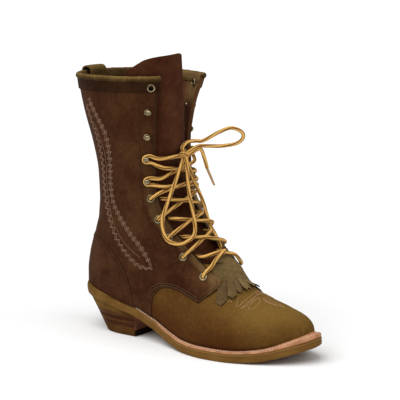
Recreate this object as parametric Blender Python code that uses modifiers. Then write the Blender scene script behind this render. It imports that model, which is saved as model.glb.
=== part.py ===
# Lace-up packer boot for the right foot, standing empty on its heel and forefoot.
# Tables and sizes are in millimetres in the last's own frame: x runs from the back of the outsole to the
# toe, y to the wearer's left and z up from the floor. The parent empty moves that frame so that the world
# origin is in the middle of the heel's bottom face.

import math

import bmesh
import bpy
import numpy as np
from mathutils import Matrix, Vector
from mathutils.bvhtree import BVHTree

MM = 0.001
GAP = 0.3
OFF_SEAM = 0.05
NEAR_MIDDLE = 0.4
RIGHT, LEFT = -1, 1

# Sole sizes
SOLE_LENGTH = 300.0
OUTSOLE_THICK = 7.0
WELT_THICK = 4.5
WELT_SLOPE = 0.8
WELT_START = 66.0
WELT_SETBACK = 0.6
INSOLE_THICK = 3.0
HEEL_BREAST = 84.0
HEEL_BACK_BOTTOM = 31.0
HEEL_TOP = 46.5
HEEL_NARROWING = 0.88
HEEL_MIDDLE = (HEEL_BREAST + HEEL_BACK_BOTTOM) / 2

# Upper sizes
WALL = 2.2
INSOLE_ROOM = WALL + 2.6
HEEL_ROOM = WALL + 4.0
THROAT_HALF = 24.0
THROAT_STRAIGHT = 0.515
THROAT_END = 0.56
HEEL_ROW = 0.515
FEATHER_BACK = 3.5
FEATHER_FRONT = 292.5
FLARE_REACH = 44.0
FLARE_FORWARD = 13.5
FLARE_ROW = 0.15
SHAFT_PER_ROW = 462.0
SEAT_RISE = 0.9
SEAT_LENGTH = 40.0


def table(names, rows):
    return dict(zip(names.split(), np.array(rows, float).T))


# Plan of the outsole's edge: reach to the right and to the left of the heel's centre line.
PLAN = table("x right left", [
    (0, 0, 0), (1.5, 9, 9), (6, 18, 18), (14, 25.5, 25.5), (28, 31, 31), (50, 33.5, 33),
    (82, 33, 31), (110, 35.5, 29), (140, 43, 32), (170, 52, 38.5), (192, 55, 43.5), (215, 53, 47),
    (240, 45.5, 46.5), (262, 35, 41), (280, 23, 34), (292, 11.5, 25), (298, 2, 16), (300, -5.5, 5.5),
])

# Side profile of the outsole's underside: heel seat, arch, flat tread and toe spring.
UNDERSIDE = table("x z", [
    (0, 39.5), (40, 33), (84, 24), (110, 15.8), (140, 5.2), (160, 1), (176, 0), (220, 0),
    (250, 2.4), (280, 10), (300, 17),
])

# Margin of the welt outside the upper's lower edge.
MARGIN = table("x margin", [(0, 3.5), (60, 4), (120, 5), (200, 7), (260, 7.5), (300, 7.5)])

# Sections of the last, fanned from the level collar to the upright toe. Each runs from a front or top
# point to a back or bottom point. Bottom points past the heel row lie on the outsole. The half width is
# reached at the given share of the way down, and the powers square off the two ends.
SECTIONS = table("row front_x front_z back_x back_z half middle top_power low_power", [
    (0.00, 130, 290, -1, 288, 53, .50, 2.3, 2.2),
    (0.08, 125, 253, 8, 251, 50, .50, 2.3, 2.2),
    (0.17, 125.5, 214, 19.5, 210, 45, .48, 2.3, 2.2),
    (0.23, 128, 187, 25, 180, 42, .46, 2.3, 2.3),
    (0.28, 133, 168, 25.5, 155, 40, .44, 2.3, 2.4),
    (0.33, 141, 150, 22, 130, 38, .40, 2.3, 2.5),
    (0.38, 151, 135, 15.5, 107, 37, .38, 2.2, 2.6),
    (0.43, 163, 120, 8, 85, 36, .36, 2.2, 2.6),
    (0.48, 176, 108, 3.8, 63, 35.2, .34, 2.2, 2.6),
    (0.515, 185, 100.5, 3.5, 46.5, 34.8, .335, 2.2, 2.6),
    (0.56, 192, 95, 30, 0, 34.6, .35, 2.2, 2.6),
    (0.62, 200, 89, 80, 0, 35.4, .40, 2.1, 2.5),
    (0.68, 208, 82.5, 130, 0, 38, .48, 2.0, 2.5),
    (0.74, 217, 73.5, 168, 0, 43, .58, 1.95, 2.5),
    (0.80, 229, 64.5, 203, 0, 47, .66, 2.0, 2.5),
    (0.86, 244, 57.5, 232, 0, 44, .66, 2.1, 2.5),
    (0.91, 258, 52.8, 253, 0, 36, .64, 2.2, 2.5),
    (0.95, 271, 49, 271, 0, 26, .62, 2.3, 2.5),
    (0.975, 281, 45.3, 283, 0, 17, .60, 2.3, 2.5),
    (0.99, 288.5, 40, 290, 0, 9, .55, 2.2, 2.5),
    (1.00, 292.5, 25, 292.5, 0, 0, .50, 2.0, 2.0),
])

# Half width of the throat from the collar down to its straight end.
THROAT = table("row half", [
    (0, 30), (0.2, 30.5), (0.3, 31), (0.36, 29), (0.43, 26), (0.515, THROAT_HALF),
])

# Rows and columns of the upper's faces.
ROWS = np.array([
    0, .045, .10, .16, .22, .27, .315, .36, .40, .44, .48, .515, .53, .545, .555, .56, .59, .62, .66,
    .71, .77, .83, .88, .92, .955, .98, .992, 1,
])
COLUMNS = np.linspace(0, 1, 11)

# Colour, roughness and metallic value of each material.
MATERIALS = {
    "shaft_leather": ((0.105, 0.040, 0.016), 0.55, 0.0),
    "tongue_leather": ((0.085, 0.030, 0.014), 0.60, 0.0),
    "insole_leather": ((0.42, 0.28, 0.16), 0.75, 0.0),
    "sole_leather": ((0.30, 0.165, 0.060), 0.50, 0.0),
    "welt_leather": ((0.45, 0.235, 0.120), 0.55, 0.0),
    "heel_light": ((0.235, 0.120, 0.045), 0.50, 0.0),
    "heel_dark": ((0.070, 0.030, 0.014), 0.55, 0.0),
    "heel_rubber": ((0.150, 0.085, 0.035), 0.70, 0.0),
    "quarter_leather": ((0.115, 0.045, 0.018), 0.55, 0.0),
    "counter_leather": ((0.120, 0.055, 0.022), 0.55, 0.0),
    "collar_leather": ((0.140, 0.070, 0.028), 0.55, 0.0),
    "kiltie_leather": ((0.165, 0.100, 0.035), 0.60, 0.0),
    "nickel": ((0.60, 0.57, 0.50), 0.30, 1.0),
    "lace_cord": ((0.62, 0.33, 0.075), 0.70, 0.0),
    "lace_tip": ((0.45, 0.27, 0.09), 0.40, 0.0),
}


# Monotone cubic through the knots, held level past both ends.
def smooth(at, knots, values):
    steps = np.diff(knots)
    slopes = np.diff(values) / steps
    tangents = np.concatenate([slopes[:1], np.zeros(len(knots) - 2), slopes[-1:]])
    before, after = slopes[:-1], slopes[1:]
    rising = before * after > 0
    heavy_after = 2 * steps[1:] + steps[:-1]
    heavy_before = steps[1:] + 2 * steps[:-1]
    total = heavy_after + heavy_before
    safe_before = np.where(rising, before, 1.0)
    safe_after = np.where(rising, after, 1.0)
    mean = total / (heavy_after / safe_before + heavy_before / safe_after)
    tangents[1:-1] = np.where(rising, mean, 0.0)
    at = np.clip(np.asarray(at, float), knots[0], knots[-1])
    k = np.clip(np.searchsorted(knots, at, side="right") - 1, 0, len(steps) - 1)
    u = (at - knots[k]) / steps[k]
    rise = values[k] * (1 + 2 * u) * (1 - u) ** 2 + tangents[k] * steps[k] * u * (1 - u) ** 2
    return rise + values[k + 1] * u * u * (3 - 2 * u) + tangents[k + 1] * steps[k] * u * u * (u - 1)


# Angle from 0 at the back to pi at the toe, which spreads the round ends of an outline.
def turn(x):
    return np.arccos(np.clip(1 - 2 * np.asarray(x, float) / SOLE_LENGTH, -1, 1))


def plan(x):
    right = -smooth(turn(x), turn(PLAN["x"]), PLAN["right"])
    left = smooth(turn(x), turn(PLAN["x"]), PLAN["left"])
    return right, left


def underside(x):
    return smooth(x, UNDERSIDE["x"], UNDERSIDE["z"])


# Centre and half width of the upper's lower edge at x.
def feather(x):
    stretched = (x - FEATHER_BACK) / (FEATHER_FRONT - FEATHER_BACK) * SOLE_LENGTH
    right, left = plan(stretched)
    half = (left - right) / 2
    margin = smooth(x, MARGIN["x"], MARGIN["margin"])
    return (left + right) / 2, np.maximum(half - margin * np.minimum(1, half / 12), 0)


# Section values at each row, as columns, with the centre and half width of the lower edge.
def section_values(rows):
    value = {name: smooth(rows, SECTIONS["row"], SECTIONS[name])[:, None] for name in SECTIONS}
    foot = value["row"] >= HEEL_ROW
    seat_rise = SEAT_RISE * np.clip(1 - value["back_x"] / SEAT_LENGTH, 0, 1)
    sole_top = underside(value["back_x"]) + OUTSOLE_THICK + 2 * GAP + seat_rise
    value["back_z"] = np.where(foot, sole_top, value["back_z"])
    centre, edge = feather(value["back_x"])
    value["centre"] = np.where(foot, centre, 0.0)
    value["edge"] = np.where(foot, edge, 0.0)
    value["half"] = np.maximum(value["half"], value["edge"] * 1.02)
    share = np.clip(value["edge"] / np.maximum(value["half"], 1e-6), 0, 0.985)
    value["last_angle"] = np.pi - np.arcsin(share ** (value["low_power"] / 2))
    return value


# Points of one side of the last at a row and an angle: 0 is the front or top, and the last angle is the
# back seam or the lower edge. Two superellipse arcs meet at the half width.
def last_points(value, angle, side, folded=True):
    cosine = np.abs(np.cos(angle))
    sine = np.abs(np.sin(angle))
    upper_arc = angle <= np.pi / 2
    low_end = np.abs(np.cos(value["last_angle"])) ** (2 / value["low_power"])
    down_top = value["middle"] * (1 - cosine ** (2 / value["top_power"]))
    down_low = value["middle"] + (1 - value["middle"]) * cosine ** (2 / value["low_power"]) / low_end
    down = np.where(upper_arc, down_top, down_low)
    power = np.where(upper_arc, value["top_power"], value["low_power"])
    reach = value["half"] * sine ** (2 / power)
    x = value["front_x"] + (value["back_x"] - value["front_x"]) * down
    z = value["front_z"] + (value["back_z"] - value["front_z"]) * down
    if folded and side == LEFT:
        # The left flap of the throat is folded forward near the collar.
        fold = np.clip(1 - value["row"] / FLARE_ROW, 0, 1) ** 1.3
        near_edge = np.where(upper_arc, np.clip(1 - reach / FLARE_REACH, 0, 1) / (1 - 30 / FLARE_REACH), 0)
        x = x + FLARE_FORWARD * fold * np.minimum(near_edge, 1.5)
    return np.stack([x, value["centre"] + side * reach, z], -1)


def throat_half(rows):
    straight = smooth(rows, THROAT["row"], THROAT["half"])
    past = np.clip((rows - THROAT_STRAIGHT) / (THROAT_END - THROAT_STRAIGHT), 0, 1)
    return straight * np.sqrt(1 - past ** 2)


# Angle on the front arc where the surface has the given reach from its centre.
def reach_angle(value, reach):
    share = np.clip(reach / np.maximum(value["half"], 1e-6), 0, 1)
    return np.arcsin(share ** (value["top_power"] / 2))


# Grid of one side of the upper. Its columns split each row evenly from the front to the lower edge, and
# those near the throat close up to leave its opening.
def side_grid(rows, columns, side, open_throat=True):
    value = section_values(rows)
    dense = np.linspace(0, 1, 241)[None, :]
    points = last_points(value, value["last_angle"] * dense, side)
    first = reach_angle(value, throat_half(rows)[:, None]) / value["last_angle"]
    lengths = np.linalg.norm(np.diff(points, axis=1), axis=-1)
    along = np.concatenate([np.zeros((len(rows), 1)), np.cumsum(lengths, axis=1)], axis=1)
    grid = np.empty((len(rows), len(columns), 3))
    for k in range(len(rows)):
        opening = np.interp(first[k, 0], dense[0], along[k]) if open_throat else 0.0
        wanted = columns * along[k, -1] + opening * (1 - columns) ** 3
        for axis in range(3):
            grid[k, :, axis] = np.interp(wanted, along[k], points[k, :, axis])
    return grid


# Triangles of a grid, so that every piece laid on the same grid splits it alike. The last row slants the
# other way, because both sides of the upper close there on one line.
def grid_faces(rows, columns, start=0, flip=False):
    faces = []
    for i in range(rows - 1):
        for j in range(columns - 1):
            a = start + i * columns + j
            b = a + columns
            pair = [(a, a + 1, b + 1), (a, b + 1, b)]
            if i == rows - 2:
                pair = [(a, a + 1, b), (a + 1, b + 1, b)]
            faces += [face[::-1] if flip else face for face in pair]
    return faces


# Both sides of the upper as one list of points and faces, facing out.
def both_sides(rows, columns, open_throat=True):
    right = side_grid(rows, columns, RIGHT, open_throat)
    left = side_grid(rows, columns, LEFT, open_throat)
    count = len(rows) * len(columns)
    faces = grid_faces(len(rows), len(columns)) + grid_faces(len(rows), len(columns), count, True)
    return np.concatenate([right.reshape(-1, 3), left.reshape(-1, 3)]), faces


# The last with its throat closed, which carries what lies across the throat.
def closed_last():
    points, faces = both_sides(ROWS, COLUMNS, open_throat=False)
    return points.tolist(), faces


def clear_scene():
    for obj in list(bpy.data.objects):
        bpy.data.objects.remove(obj, do_unlink=True)


def new_collection(name):
    collection = bpy.data.collections.new(name)
    bpy.context.scene.collection.children.link(collection)
    return collection


def material(name):
    found = bpy.data.materials.get(name)
    if found:
        return found
    colour, roughness, metallic = MATERIALS[name]
    made = bpy.data.materials.new(name)
    made.use_nodes = True
    shader = made.node_tree.nodes["Principled BSDF"]
    shader.inputs["Base Color"].default_value = (*colour, 1)
    shader.inputs["Roughness"].default_value = roughness
    shader.inputs["Metallic"].default_value = metallic
    return made


# Mesh in metres with coincident points joined.
def new_mesh(name, points, faces):
    mesh = bpy.data.meshes.new(name)
    mesh.from_pydata((np.asarray(points) * MM).tolist(), [], faces)
    work = bmesh.new()
    work.from_mesh(mesh)
    bmesh.ops.remove_doubles(work, verts=work.verts, dist=1e-6)
    bmesh.ops.dissolve_degenerate(work, edges=work.edges, dist=1e-7)
    work.to_mesh(mesh)
    work.free()
    return mesh


def add_part(name, mesh, material_name):
    obj = bpy.data.objects.new(name, mesh)
    PARTS.objects.link(obj)
    obj.parent = LAST
    if not mesh.materials:
        mesh.materials.append(material(material_name))
    mesh.shade_smooth()
    mesh.set_sharp_from_angle(angle=math.radians(40))
    return obj


# Wall on a surface that faces out: negative offset grows it inward, positive outward.
def thicken(obj, thickness, offset):
    solidify = obj.modifiers.new("wall", "SOLIDIFY")
    solidify.thickness = thickness * MM
    solidify.offset = offset
    solidify.use_even_offset = True
    solidify.use_quality_normals = True
    return solidify


# Stations along an outline, closer together at its round ends.
def stations(start, end, count):
    bend = np.linspace(0, np.pi, count)
    return start + (end - start) * (1 - np.cos(bend)) / 2


# Outline moved inward in plan: right and left run from back to toe and share both tips.
def inset_outline(right, left, distance):
    count = len(right)
    ring = np.vstack([right, left[-2:0:-1]])
    tangent = np.roll(ring, -1, 0) - np.roll(ring, 1, 0)
    tangent /= np.linalg.norm(tangent, axis=1, keepdims=True)
    inward = np.stack([-tangent[:, 1], tangent[:, 0]], -1)
    amount = np.interp(ring[:, 0], *distance) if isinstance(distance, tuple) else distance
    moved = ring + inward * np.reshape(amount, (-1, 1))
    return moved[:count], np.vstack([moved[:1], moved[count:][::-1], moved[count - 1:count]])


# Closed solid through levels, lowest first: each level is a right and a left line of equal length.
def ladder_solid(levels):
    count = len(levels[0][0])
    ring = 2 * count
    points = np.vstack([np.vstack([right, left[::-1]]) for right, left in levels])
    faces = []
    for level in range(len(levels) - 1):
        for k in range(ring):
            a = level * ring + k
            b = level * ring + (k + 1) % ring
            faces.append((a, b, b + ring, a + ring))
    top = (len(levels) - 1) * ring
    for k in range(count - 1):
        other = ring - 1 - k
        faces.append((k, other, other - 1, k + 1))
        faces.append((top + k, top + k + 1, top + other - 1, top + other))
    return points, faces


def on_sole(line, height):
    return np.column_stack([line, underside(line[:, 0]) + height])


def make_upper():
    points, faces = both_sides(ROWS, COLUMNS)
    upper = add_part("upper", new_mesh("upper", points, faces), "shaft_leather")
    thicken(upper, WALL, -1)
    return upper


def sole_outline(count):
    x = stations(0, SOLE_LENGTH, count)
    right, left = plan(x)
    return np.column_stack([x, right]), np.column_stack([x, left])


# Outsole: the heel seat's edge slopes in under the heel, and the sides are eased at both edges.
def make_outsole():
    right, left = sole_outline(29)
    edge_inset = [
        (((0, 30, HEEL_BREAST, SOLE_LENGTH), (4.4, 1.6, 1.0, 1.0)), 0.0),
        (((0, 30, HEEL_BREAST, SOLE_LENGTH), (3.0, 0.6, 0.2, 0.2)), 1.6),
        (((0, 30, HEEL_BREAST, SOLE_LENGTH), (0.6, 0.0, 0.0, 0.0)), 5.6),
        (0.5, OUTSOLE_THICK),
    ]
    levels = []
    for distance, height in edge_inset:
        inner_right, inner_left = inset_outline(right, left, distance)
        levels.append((on_sole(inner_right, height), on_sole(inner_left, height)))
    add_part("outsole", new_mesh("outsole", *ladder_solid(levels)), "sole_leather")


# Insole board inside the upper's wall.
def make_insole():
    x = stations(FEATHER_BACK, FEATHER_FRONT, 25)
    centre, half = feather(x)
    right = np.column_stack([x, centre - half])
    left = np.column_stack([x, centre + half])
    right, left = inset_outline(right, left, ((0, 30, 60), (HEEL_ROOM, HEEL_ROOM, INSOLE_ROOM)))
    low, high = OUTSOLE_THICK + GAP, OUTSOLE_THICK + GAP + INSOLE_THICK
    levels = [(on_sole(right, h), on_sole(left, h)) for h in (low, high)]
    add_part("insole", new_mesh("insole", *ladder_solid(levels)), "insole_leather")


# Stacked heel, undershot at the back: its outline at each height.
def heel_outline(z, count=12):
    bend = np.linspace(0, np.pi / 2, count)
    x = HEEL_BREAST * (1 - np.cos(bend))
    right, left = plan(x)
    height = z(x) if callable(z) else np.full(count, float(z))
    up = height / HEEL_TOP
    back = HEEL_BACK_BOTTOM * (1 - up)
    x = back + x * (HEEL_BREAST - back) / HEEL_BREAST
    width = HEEL_NARROWING + (1 - HEEL_NARROWING) * up
    if callable(z):
        height = z(x)
    return np.column_stack([x, right * width, height]), np.column_stack([x, left * width, height])


HEEL_LAYERS = [
    # name, bottom height, top height, material
    ("heel_top_lift", 0.0, 10.0, "heel_rubber"),
    ("heel_lift_1", 10.3, 13.7, "heel_dark"),
    ("heel_lift_2", 14.0, 16.7, "heel_light"),
    ("heel_lift_3", 17.0, 20.0, "heel_dark"),
]
HEEL_WEDGE_BOTTOM = 20.3


def make_heel():
    for name, low, high, material_name in HEEL_LAYERS:
        levels = [heel_outline(low), heel_outline(high)]
        add_part(name, new_mesh(name, *ladder_solid(levels)), material_name)
    levels = [heel_outline(HEEL_WEDGE_BOTTOM), heel_outline(lambda x: underside(x) - GAP)]
    add_part("heel_wedge", new_mesh("heel_wedge", *ladder_solid(levels)), "sole_leather")


# Way from each place on the outsole's edge in to the upper, the shortest over the welt's height.
def way_to_upper(edge, inward, tree):
    way = np.full(len(edge), 40.0)
    for k, (place, direction) in enumerate(zip(edge, inward)):
        for height in np.linspace(0.1, WELT_THICK + WELT_SLOPE, 6):
            z = underside(place[0]) + OUTSOLE_THICK + GAP + height
            start = Vector((place[0], place[1] + OFF_SEAM, z))
            hit = tree.ray_cast(start, Vector((*direction, 0)), 40)
            if hit[0] is not None:
                way[k] = min(way[k], hit[3])
    return way


# Closed strip on the outsole's margin, with a four-sided section at each place along its edge.
def edge_strip(edge, inward, way):
    points = []
    for place, direction, depth in zip(edge, inward, way):
        inner = place + direction * (depth - 1.5 * GAP)
        outer = place + direction * WELT_SETBACK
        low = underside(place[0]) + OUTSOLE_THICK + GAP
        points.append((*outer, low))
        points.append((*outer, low + WELT_THICK - GAP))
        points.append((*inner, low + WELT_THICK - GAP + WELT_SLOPE))
        points.append((*inner, low))
    faces = []
    for k in range(len(edge) - 1):
        for side in range(4):
            a = 4 * k + side
            b = 4 * k + (side + 1) % 4
            faces.append((b, a, a + 4, b + 4))
    last = 4 * (len(edge) - 1)
    faces.append((0, 1, 2, 3))
    faces.append((last + 3, last + 2, last + 1, last))
    return points, faces


# Welt from one side of the heel round the toe to the other, and the plain rand behind it.
def make_welt(tree):
    finer = 4
    right, left = sole_outline(44 * finer + 1)
    ring = np.vstack([right, left[-2:0:-1]])
    tangent = np.roll(ring, -1, 0) - np.roll(ring, 1, 0)
    tangent /= np.linalg.norm(tangent, axis=1, keepdims=True)
    inward = np.stack([-tangent[:, 1], tangent[:, 0]], -1)
    way = way_to_upper(ring, inward, tree)
    nearest = np.min([np.roll(way, k) for k in range(-finer, finer + 1)], axis=0)
    ring, inward, nearest = ring[::finer], inward[::finer], nearest[::finer]
    front = ring[:, 0] > WELT_START
    back = np.roll(np.arange(len(ring)), len(ring) // 2)
    back = back[~front[back]]
    for name, places, material_name in (
        ("welt", np.flatnonzero(front), "welt_leather"), ("heel_rand", back, "sole_leather"),
    ):
        edge, direction, depth = ring[places], inward[places], nearest[places]
        sense = 1 if name == "welt" else -1
        for end, beyond in ((0, places[0] - 1), (-1, (places[-1] + 1) % len(ring))):
            # The strip's two ends are drawn out to the common joint.
            joint = WELT_START + sense * GAP / 2
            share = (joint - edge[end, 0]) / (ring[beyond, 0] - edge[end, 0])
            edge[end] += share * (ring[beyond] - edge[end])
        add_part(name, new_mesh(name, *edge_strip(edge, direction, depth)), material_name)


# Tongue: the front of the last inside the wall, sunk under the laces and pushed forward above them. It has
# slid to the right at the collar, so it reaches further to that side than to the left.
TONGUE = table("row right left sink room", [
    (-0.055, 50.5, 1, -3, 3.6), (0, 50.5, 2.5, -3.5, 3.6), (0.03, 49.5, 3.5, -4.5, 3.4),
    (0.06, 48, 4.5, -6, 1.8), (0.15, 41, 8, -5, 1.8), (0.22, 40, 14, 5, 1.8), (0.28, 38.5, 26, 13, 1.8),
    (0.4, 35, 35, 16, 1.8), (0.47, 32.5, 32.5, 14, 1.8), (0.53, 28, 28, 4, 1.8), (0.56, 25, 25, 0, 1.8),
    (0.585, 22, 22, 0, 1.8),
])
TONGUE_THICK = 2.0
TONGUE_TOP = table("across height", [
    (-1, 298), (-0.83, 304.5), (-0.69, 308.3), (-0.4, 311), (0.18, 313), (0.57, 314), (0.85, 314.5), (1, 313),
])
TONGUE_ROWS = np.array([0, .06, .12, .18, .23, .28, .33, .38, .43, .48, .53, .56, .585])


# Surface point and outward direction on the front arc at a row and a signed reach to the left.
def front_point(row, reach, folded=True):
    side = LEFT if reach >= 0 else RIGHT
    reach = side * max(abs(reach), NEAR_MIDDLE)
    step_row, step_reach = 0.002, 0.2

    def at(some_row, some_reach):
        rows = np.array([max(some_row, 0.0)])
        value = section_values(rows)
        found = last_points(value, reach_angle(value, np.array([[abs(some_reach)]])), side, folded)[0, 0]
        return found + np.array([0, 0, SHAFT_PER_ROW * max(-some_row, 0.0)])

    here = at(row, reach)
    inner = reach - side * step_reach
    along = at(row + step_row, reach) - at(row - step_row, reach)
    across = here - at(row, inner)
    normal = np.cross(across, along) * side
    normal /= np.linalg.norm(normal)
    if normal[0] < 0:
        normal = -normal
    return here, normal


# Depth of the tongue's face below the last's surface: it sinks between the flaps by a parabola.
def tongue_depth(row, reach):
    opening = throat_half(np.array([min(max(row, 0), 0.5)]))[0] - 1
    window = max(1 - (reach / opening) ** 2, 0)
    sink = smooth(row, TONGUE["row"], TONGUE["sink"]) * window
    return WALL + smooth(row, TONGUE["row"], TONGUE["room"]) + sink


def make_tongue():
    across = np.linspace(0, 1, 12)
    top_row = (290 - smooth(2 * across - 1, TONGUE_TOP["across"], TONGUE_TOP["height"])) / SHAFT_PER_ROW
    points = []
    for start in TONGUE_ROWS:
        share = 1 - start / TONGUE_ROWS[-1]
        for v, top in zip(across, top_row):
            row = start + top * share ** 6
            right_reach = smooth(row, TONGUE["row"], TONGUE["right"])
            left_reach = smooth(row, TONGUE["row"], TONGUE["left"])
            reach = -right_reach + (right_reach + left_reach) * v
            here, normal = front_point(row, reach, False)
            points.append(here - normal * tongue_depth(row, reach))
    faces = grid_faces(len(TONGUE_ROWS), len(across), 0, True)
    tongue = add_part("tongue", new_mesh("tongue", points, faces), "tongue_leather")
    thicken(tongue, TONGUE_THICK, -1)


# Points evenly spaced on a smooth curve through the route's own points.
def through(route, count):
    route = np.asarray(route, float)
    padded = np.vstack([2 * route[0] - route[1], route, 2 * route[-1] - route[-2]])
    u = np.linspace(0, 1, 17)[:, None]
    curve = [route[:1]]
    for a, b, c, d in zip(padded, padded[1:], padded[2:], padded[3:]):
        bend = 2 * b + (c - a) * u + (2 * a - 5 * b + 4 * c - d) * u ** 2 + (3 * b - a - 3 * c + d) * u ** 3
        curve.append(bend[1:] / 2)
    curve = np.vstack(curve)
    along = np.concatenate([[0], np.cumsum(np.linalg.norm(np.diff(curve, axis=0), axis=1))])
    wanted = np.linspace(0, along[-1], count)
    return np.column_stack([np.interp(wanted, along, column) for column in curve.T])


def add_cutter(name, mesh):
    cutter = bpy.data.objects.new(name, mesh)
    CUTTERS.objects.link(cutter)
    cutter.parent = LAST
    cutter.hide_render = True
    cutter.display_type = "WIRE"
    return cutter


def cut(obj, cutter, operation="DIFFERENCE", solver="EXACT"):
    boolean = obj.modifiers.new(cutter.name, "BOOLEAN")
    boolean.operation = operation
    boolean.object = cutter
    boolean.solver = solver


# Solid between two planes of constant y with the given outline, counted in x and z.
def prism(name, outline, low, high):
    count = len(outline)
    points = [(x, y, z) for y in (low, high) for x, z in outline]
    faces = [tuple(range(count)), tuple(range(2 * count - 1, count - 1, -1))]
    for k in range(count):
        after = (k + 1) % count
        faces.append((after, k, k + count, after + count))
    mesh = new_mesh(name, points, faces)
    work = bmesh.new()
    work.from_mesh(mesh)
    bmesh.ops.recalc_face_normals(work, faces=work.faces)
    work.to_mesh(mesh)
    work.free()
    return add_cutter(name, mesh)


# Leather laid over the upper: the band between two offsets of its surface, cut to an outline.
OVERLAY_LIFT = 0.3
QUARTER_THICK = 1.3
COUNTER_THICK = 1.9
SEAM_GAP = 0.5
RAND_SETBACK = 9.0
THROAT_CHANNEL = 24.5
COLLAR_SEAM = [(152, 275.3), (-20, 272.8)]

# Seams in side view, in x and z. The counter's runs down from the back to the welt, and the vamp's up from
# the welt, over its hump and down to the corner where the quarter's front edge rises to its rounded tab.
COUNTER_SEAM = [(-20, 109), (10, 109), (33, 107.2), (50, 100), (65, 87.6), (74, 75), (81, 59), (84.5, 43)]
VAMP_SEAM = [(112, 37), (113, 47), (117, 55), (124, 61.5), (133, 65), (149, 64.3), (168, 59.5), (181, 56.4)]
TAB_EDGE = [(181, 56.4), (193.4, 66.2), (199, 72.3), (200.6, 75.6), (199.6, 78.6), (195, 83.5), (190, 92)]


def welt_line(x):
    return underside(x) + OUTSOLE_THICK + WELT_THICK + WELT_SLOPE + 2 * GAP


def overlay(name, thickness, material_name):
    points, faces = both_sides(ROWS, COLUMNS)
    mesh = new_mesh(name, points, faces)
    work = bmesh.new()
    work.from_mesh(mesh)
    work.normal_update()
    for vertex in work.verts:
        vertex.co += vertex.normal * OVERLAY_LIFT * MM
    work.to_mesh(mesh)
    work.free()
    obj = add_part(name, mesh, material_name)
    thicken(obj, thickness, 1)
    return obj


def make_quarters(holes):
    counter_line = through(COUNTER_SEAM, 10)
    vamp_line = through(VAMP_SEAM, 10)
    tab_line = through(TAB_EDGE, 8)
    start, end = counter_line[-1, 0], vamp_line[0, 0]
    low_edge = [(x, welt_line(x)) for x in np.linspace(start, end, 4)]
    over_instep = [(185, 104), (162, 140), (152, 180), *COLLAR_SEAM]
    outline = [*low_edge, *vamp_line, *tab_line[1:], *over_instep, *counter_line]
    channel = prism("throat_channel", [(150, 40), (240, 40), (240, 130), (150, 130)],
                    -THROAT_CHANNEL, THROAT_CHANNEL)
    for name, low, high in (("quarter_right", -80, -SEAM_GAP / 2), ("quarter_left", SEAM_GAP / 2, 80)):
        quarter = overlay(name, QUARTER_THICK, "quarter_leather")
        cut(quarter, prism(name + "_outline", outline, low, high), "INTERSECT", "MANIFOLD")
        cut(quarter, channel, solver="MANIFOLD")
        cut(quarter, holes, solver="MANIFOLD")


def make_counter():
    seam = through(COUNTER_SEAM, 10) - SEAM_GAP * np.array([1, 0.6])
    # The rand's inner edge keeps the height of its outer one, further back.
    low_edge = [(x, welt_line(max(x - RAND_SETBACK, 0))) for x in np.linspace(seam[-1, 0], 0, 8)]
    outline = [*seam, *low_edge, (-20, welt_line(0))]
    counter = overlay("counter", COUNTER_THICK, "counter_leather")
    cut(counter, prism("counter_outline", outline, -70, 70), "INTERSECT", "MANIFOLD")


# Outward directions of a grid of points.
def grid_normals(grid, side):
    down = np.gradient(grid, axis=0)
    across = np.gradient(grid, axis=1)
    normal = np.cross(across, down) * -side
    return normal / np.linalg.norm(normal, axis=-1, keepdims=True)


# Collar band folded over the top edge: row and height above it, with offset from the upper's surface.
COLLAR_PROFILE = table("row lift offset", [
    (.031, 0, .35), (.031, 0, 1.5), (0, 0, 2.0), (0, 1.7, 1.3), (0, 2.4, -1.1), (0, 1.7, -3.6),
    (.02, 0, -3.8), (.02, 0, -2.7), (0, .5, -2.7), (0, .5, .35),
])


def make_collar(holes):
    rows = np.array([0, .015, .02, .031, .05])
    columns = []
    for side in (RIGHT, LEFT):
        grid = side_grid(rows, COLUMNS, side)
        normals = grid_normals(grid, side)
        order = range(len(COLUMNS)) if side == RIGHT else range(len(COLUMNS) - 2, -1, -1)
        for j in order:
            ring = []
            for row, lift, offset in zip(*COLLAR_PROFILE.values()):
                i = int(np.argmin(np.abs(rows - row)))
                ring.append(grid[i, j] + normals[i, j] * offset + np.array([0, 0, lift]))
            columns.append(ring)
    count = len(columns[0])
    faces = grid_faces_closed(len(columns), count)
    collar = new_mesh("collar_band", np.vstack(columns), faces)
    cut(add_part("collar_band", collar, "collar_leather"), holes)


# Faces of a tube of closed rings with both ends capped.
def grid_faces_closed(rings, count):
    faces = []
    for i in range(rings - 1):
        for j in range(count):
            a = i * count + j
            b = i * count + (j + 1) % count
            faces.append((a, b, b + count, a + count))
    faces.append(tuple(range(count - 1, -1, -1)))
    faces.append(tuple(range((rings - 1) * count, rings * count)))
    return faces


# Pull loop at the back: a strap folded over the collar, in x and z along its middle.
LOOP_HALF_WIDTH = 12.5
LOOP_THICK = 2.0
LOOP_PATH = [
    (2, 262), (-1.7, 276), (-4.8, 289), (-4.4, 294.4), (-1.2, 297.8), (3.4, 298.1), (6.8, 294.8),
    (8, 288.5), (8.9, 276), (11.6, 262),
]


def make_pull_loop():
    path = through(LOOP_PATH, 15)
    points = [(x, y, z) for x, z in path for y in (-LOOP_HALF_WIDTH, 0, LOOP_HALF_WIDTH)]
    mesh = new_mesh("pull_loop", points, grid_faces(len(path), 3))
    thicken(add_part("pull_loop", mesh, "collar_leather"), LOOP_THICK, 0)


# Kiltie: a tab between the flaps that fans out over the vamp in pointed strips.
KILTIE_BACK = 185.0
KILTIE_HALF = 18.0
KILTIE_CENTRE = 186.0
KILTIE_ROOT = 20.5
KILTIE_SPREAD = math.radians(56)
KILTIE_STRIPS = 8
KILTIE_THICK = 1.4
KILTIE_LIFT = 1.9
STRIP_LENGTH = 21.0
STRIP_POINT = 4.0
STRIP_SHARE = 0.86
STRIP_RISE = (0.0, 1.4, 0.5, 1.8)


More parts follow.
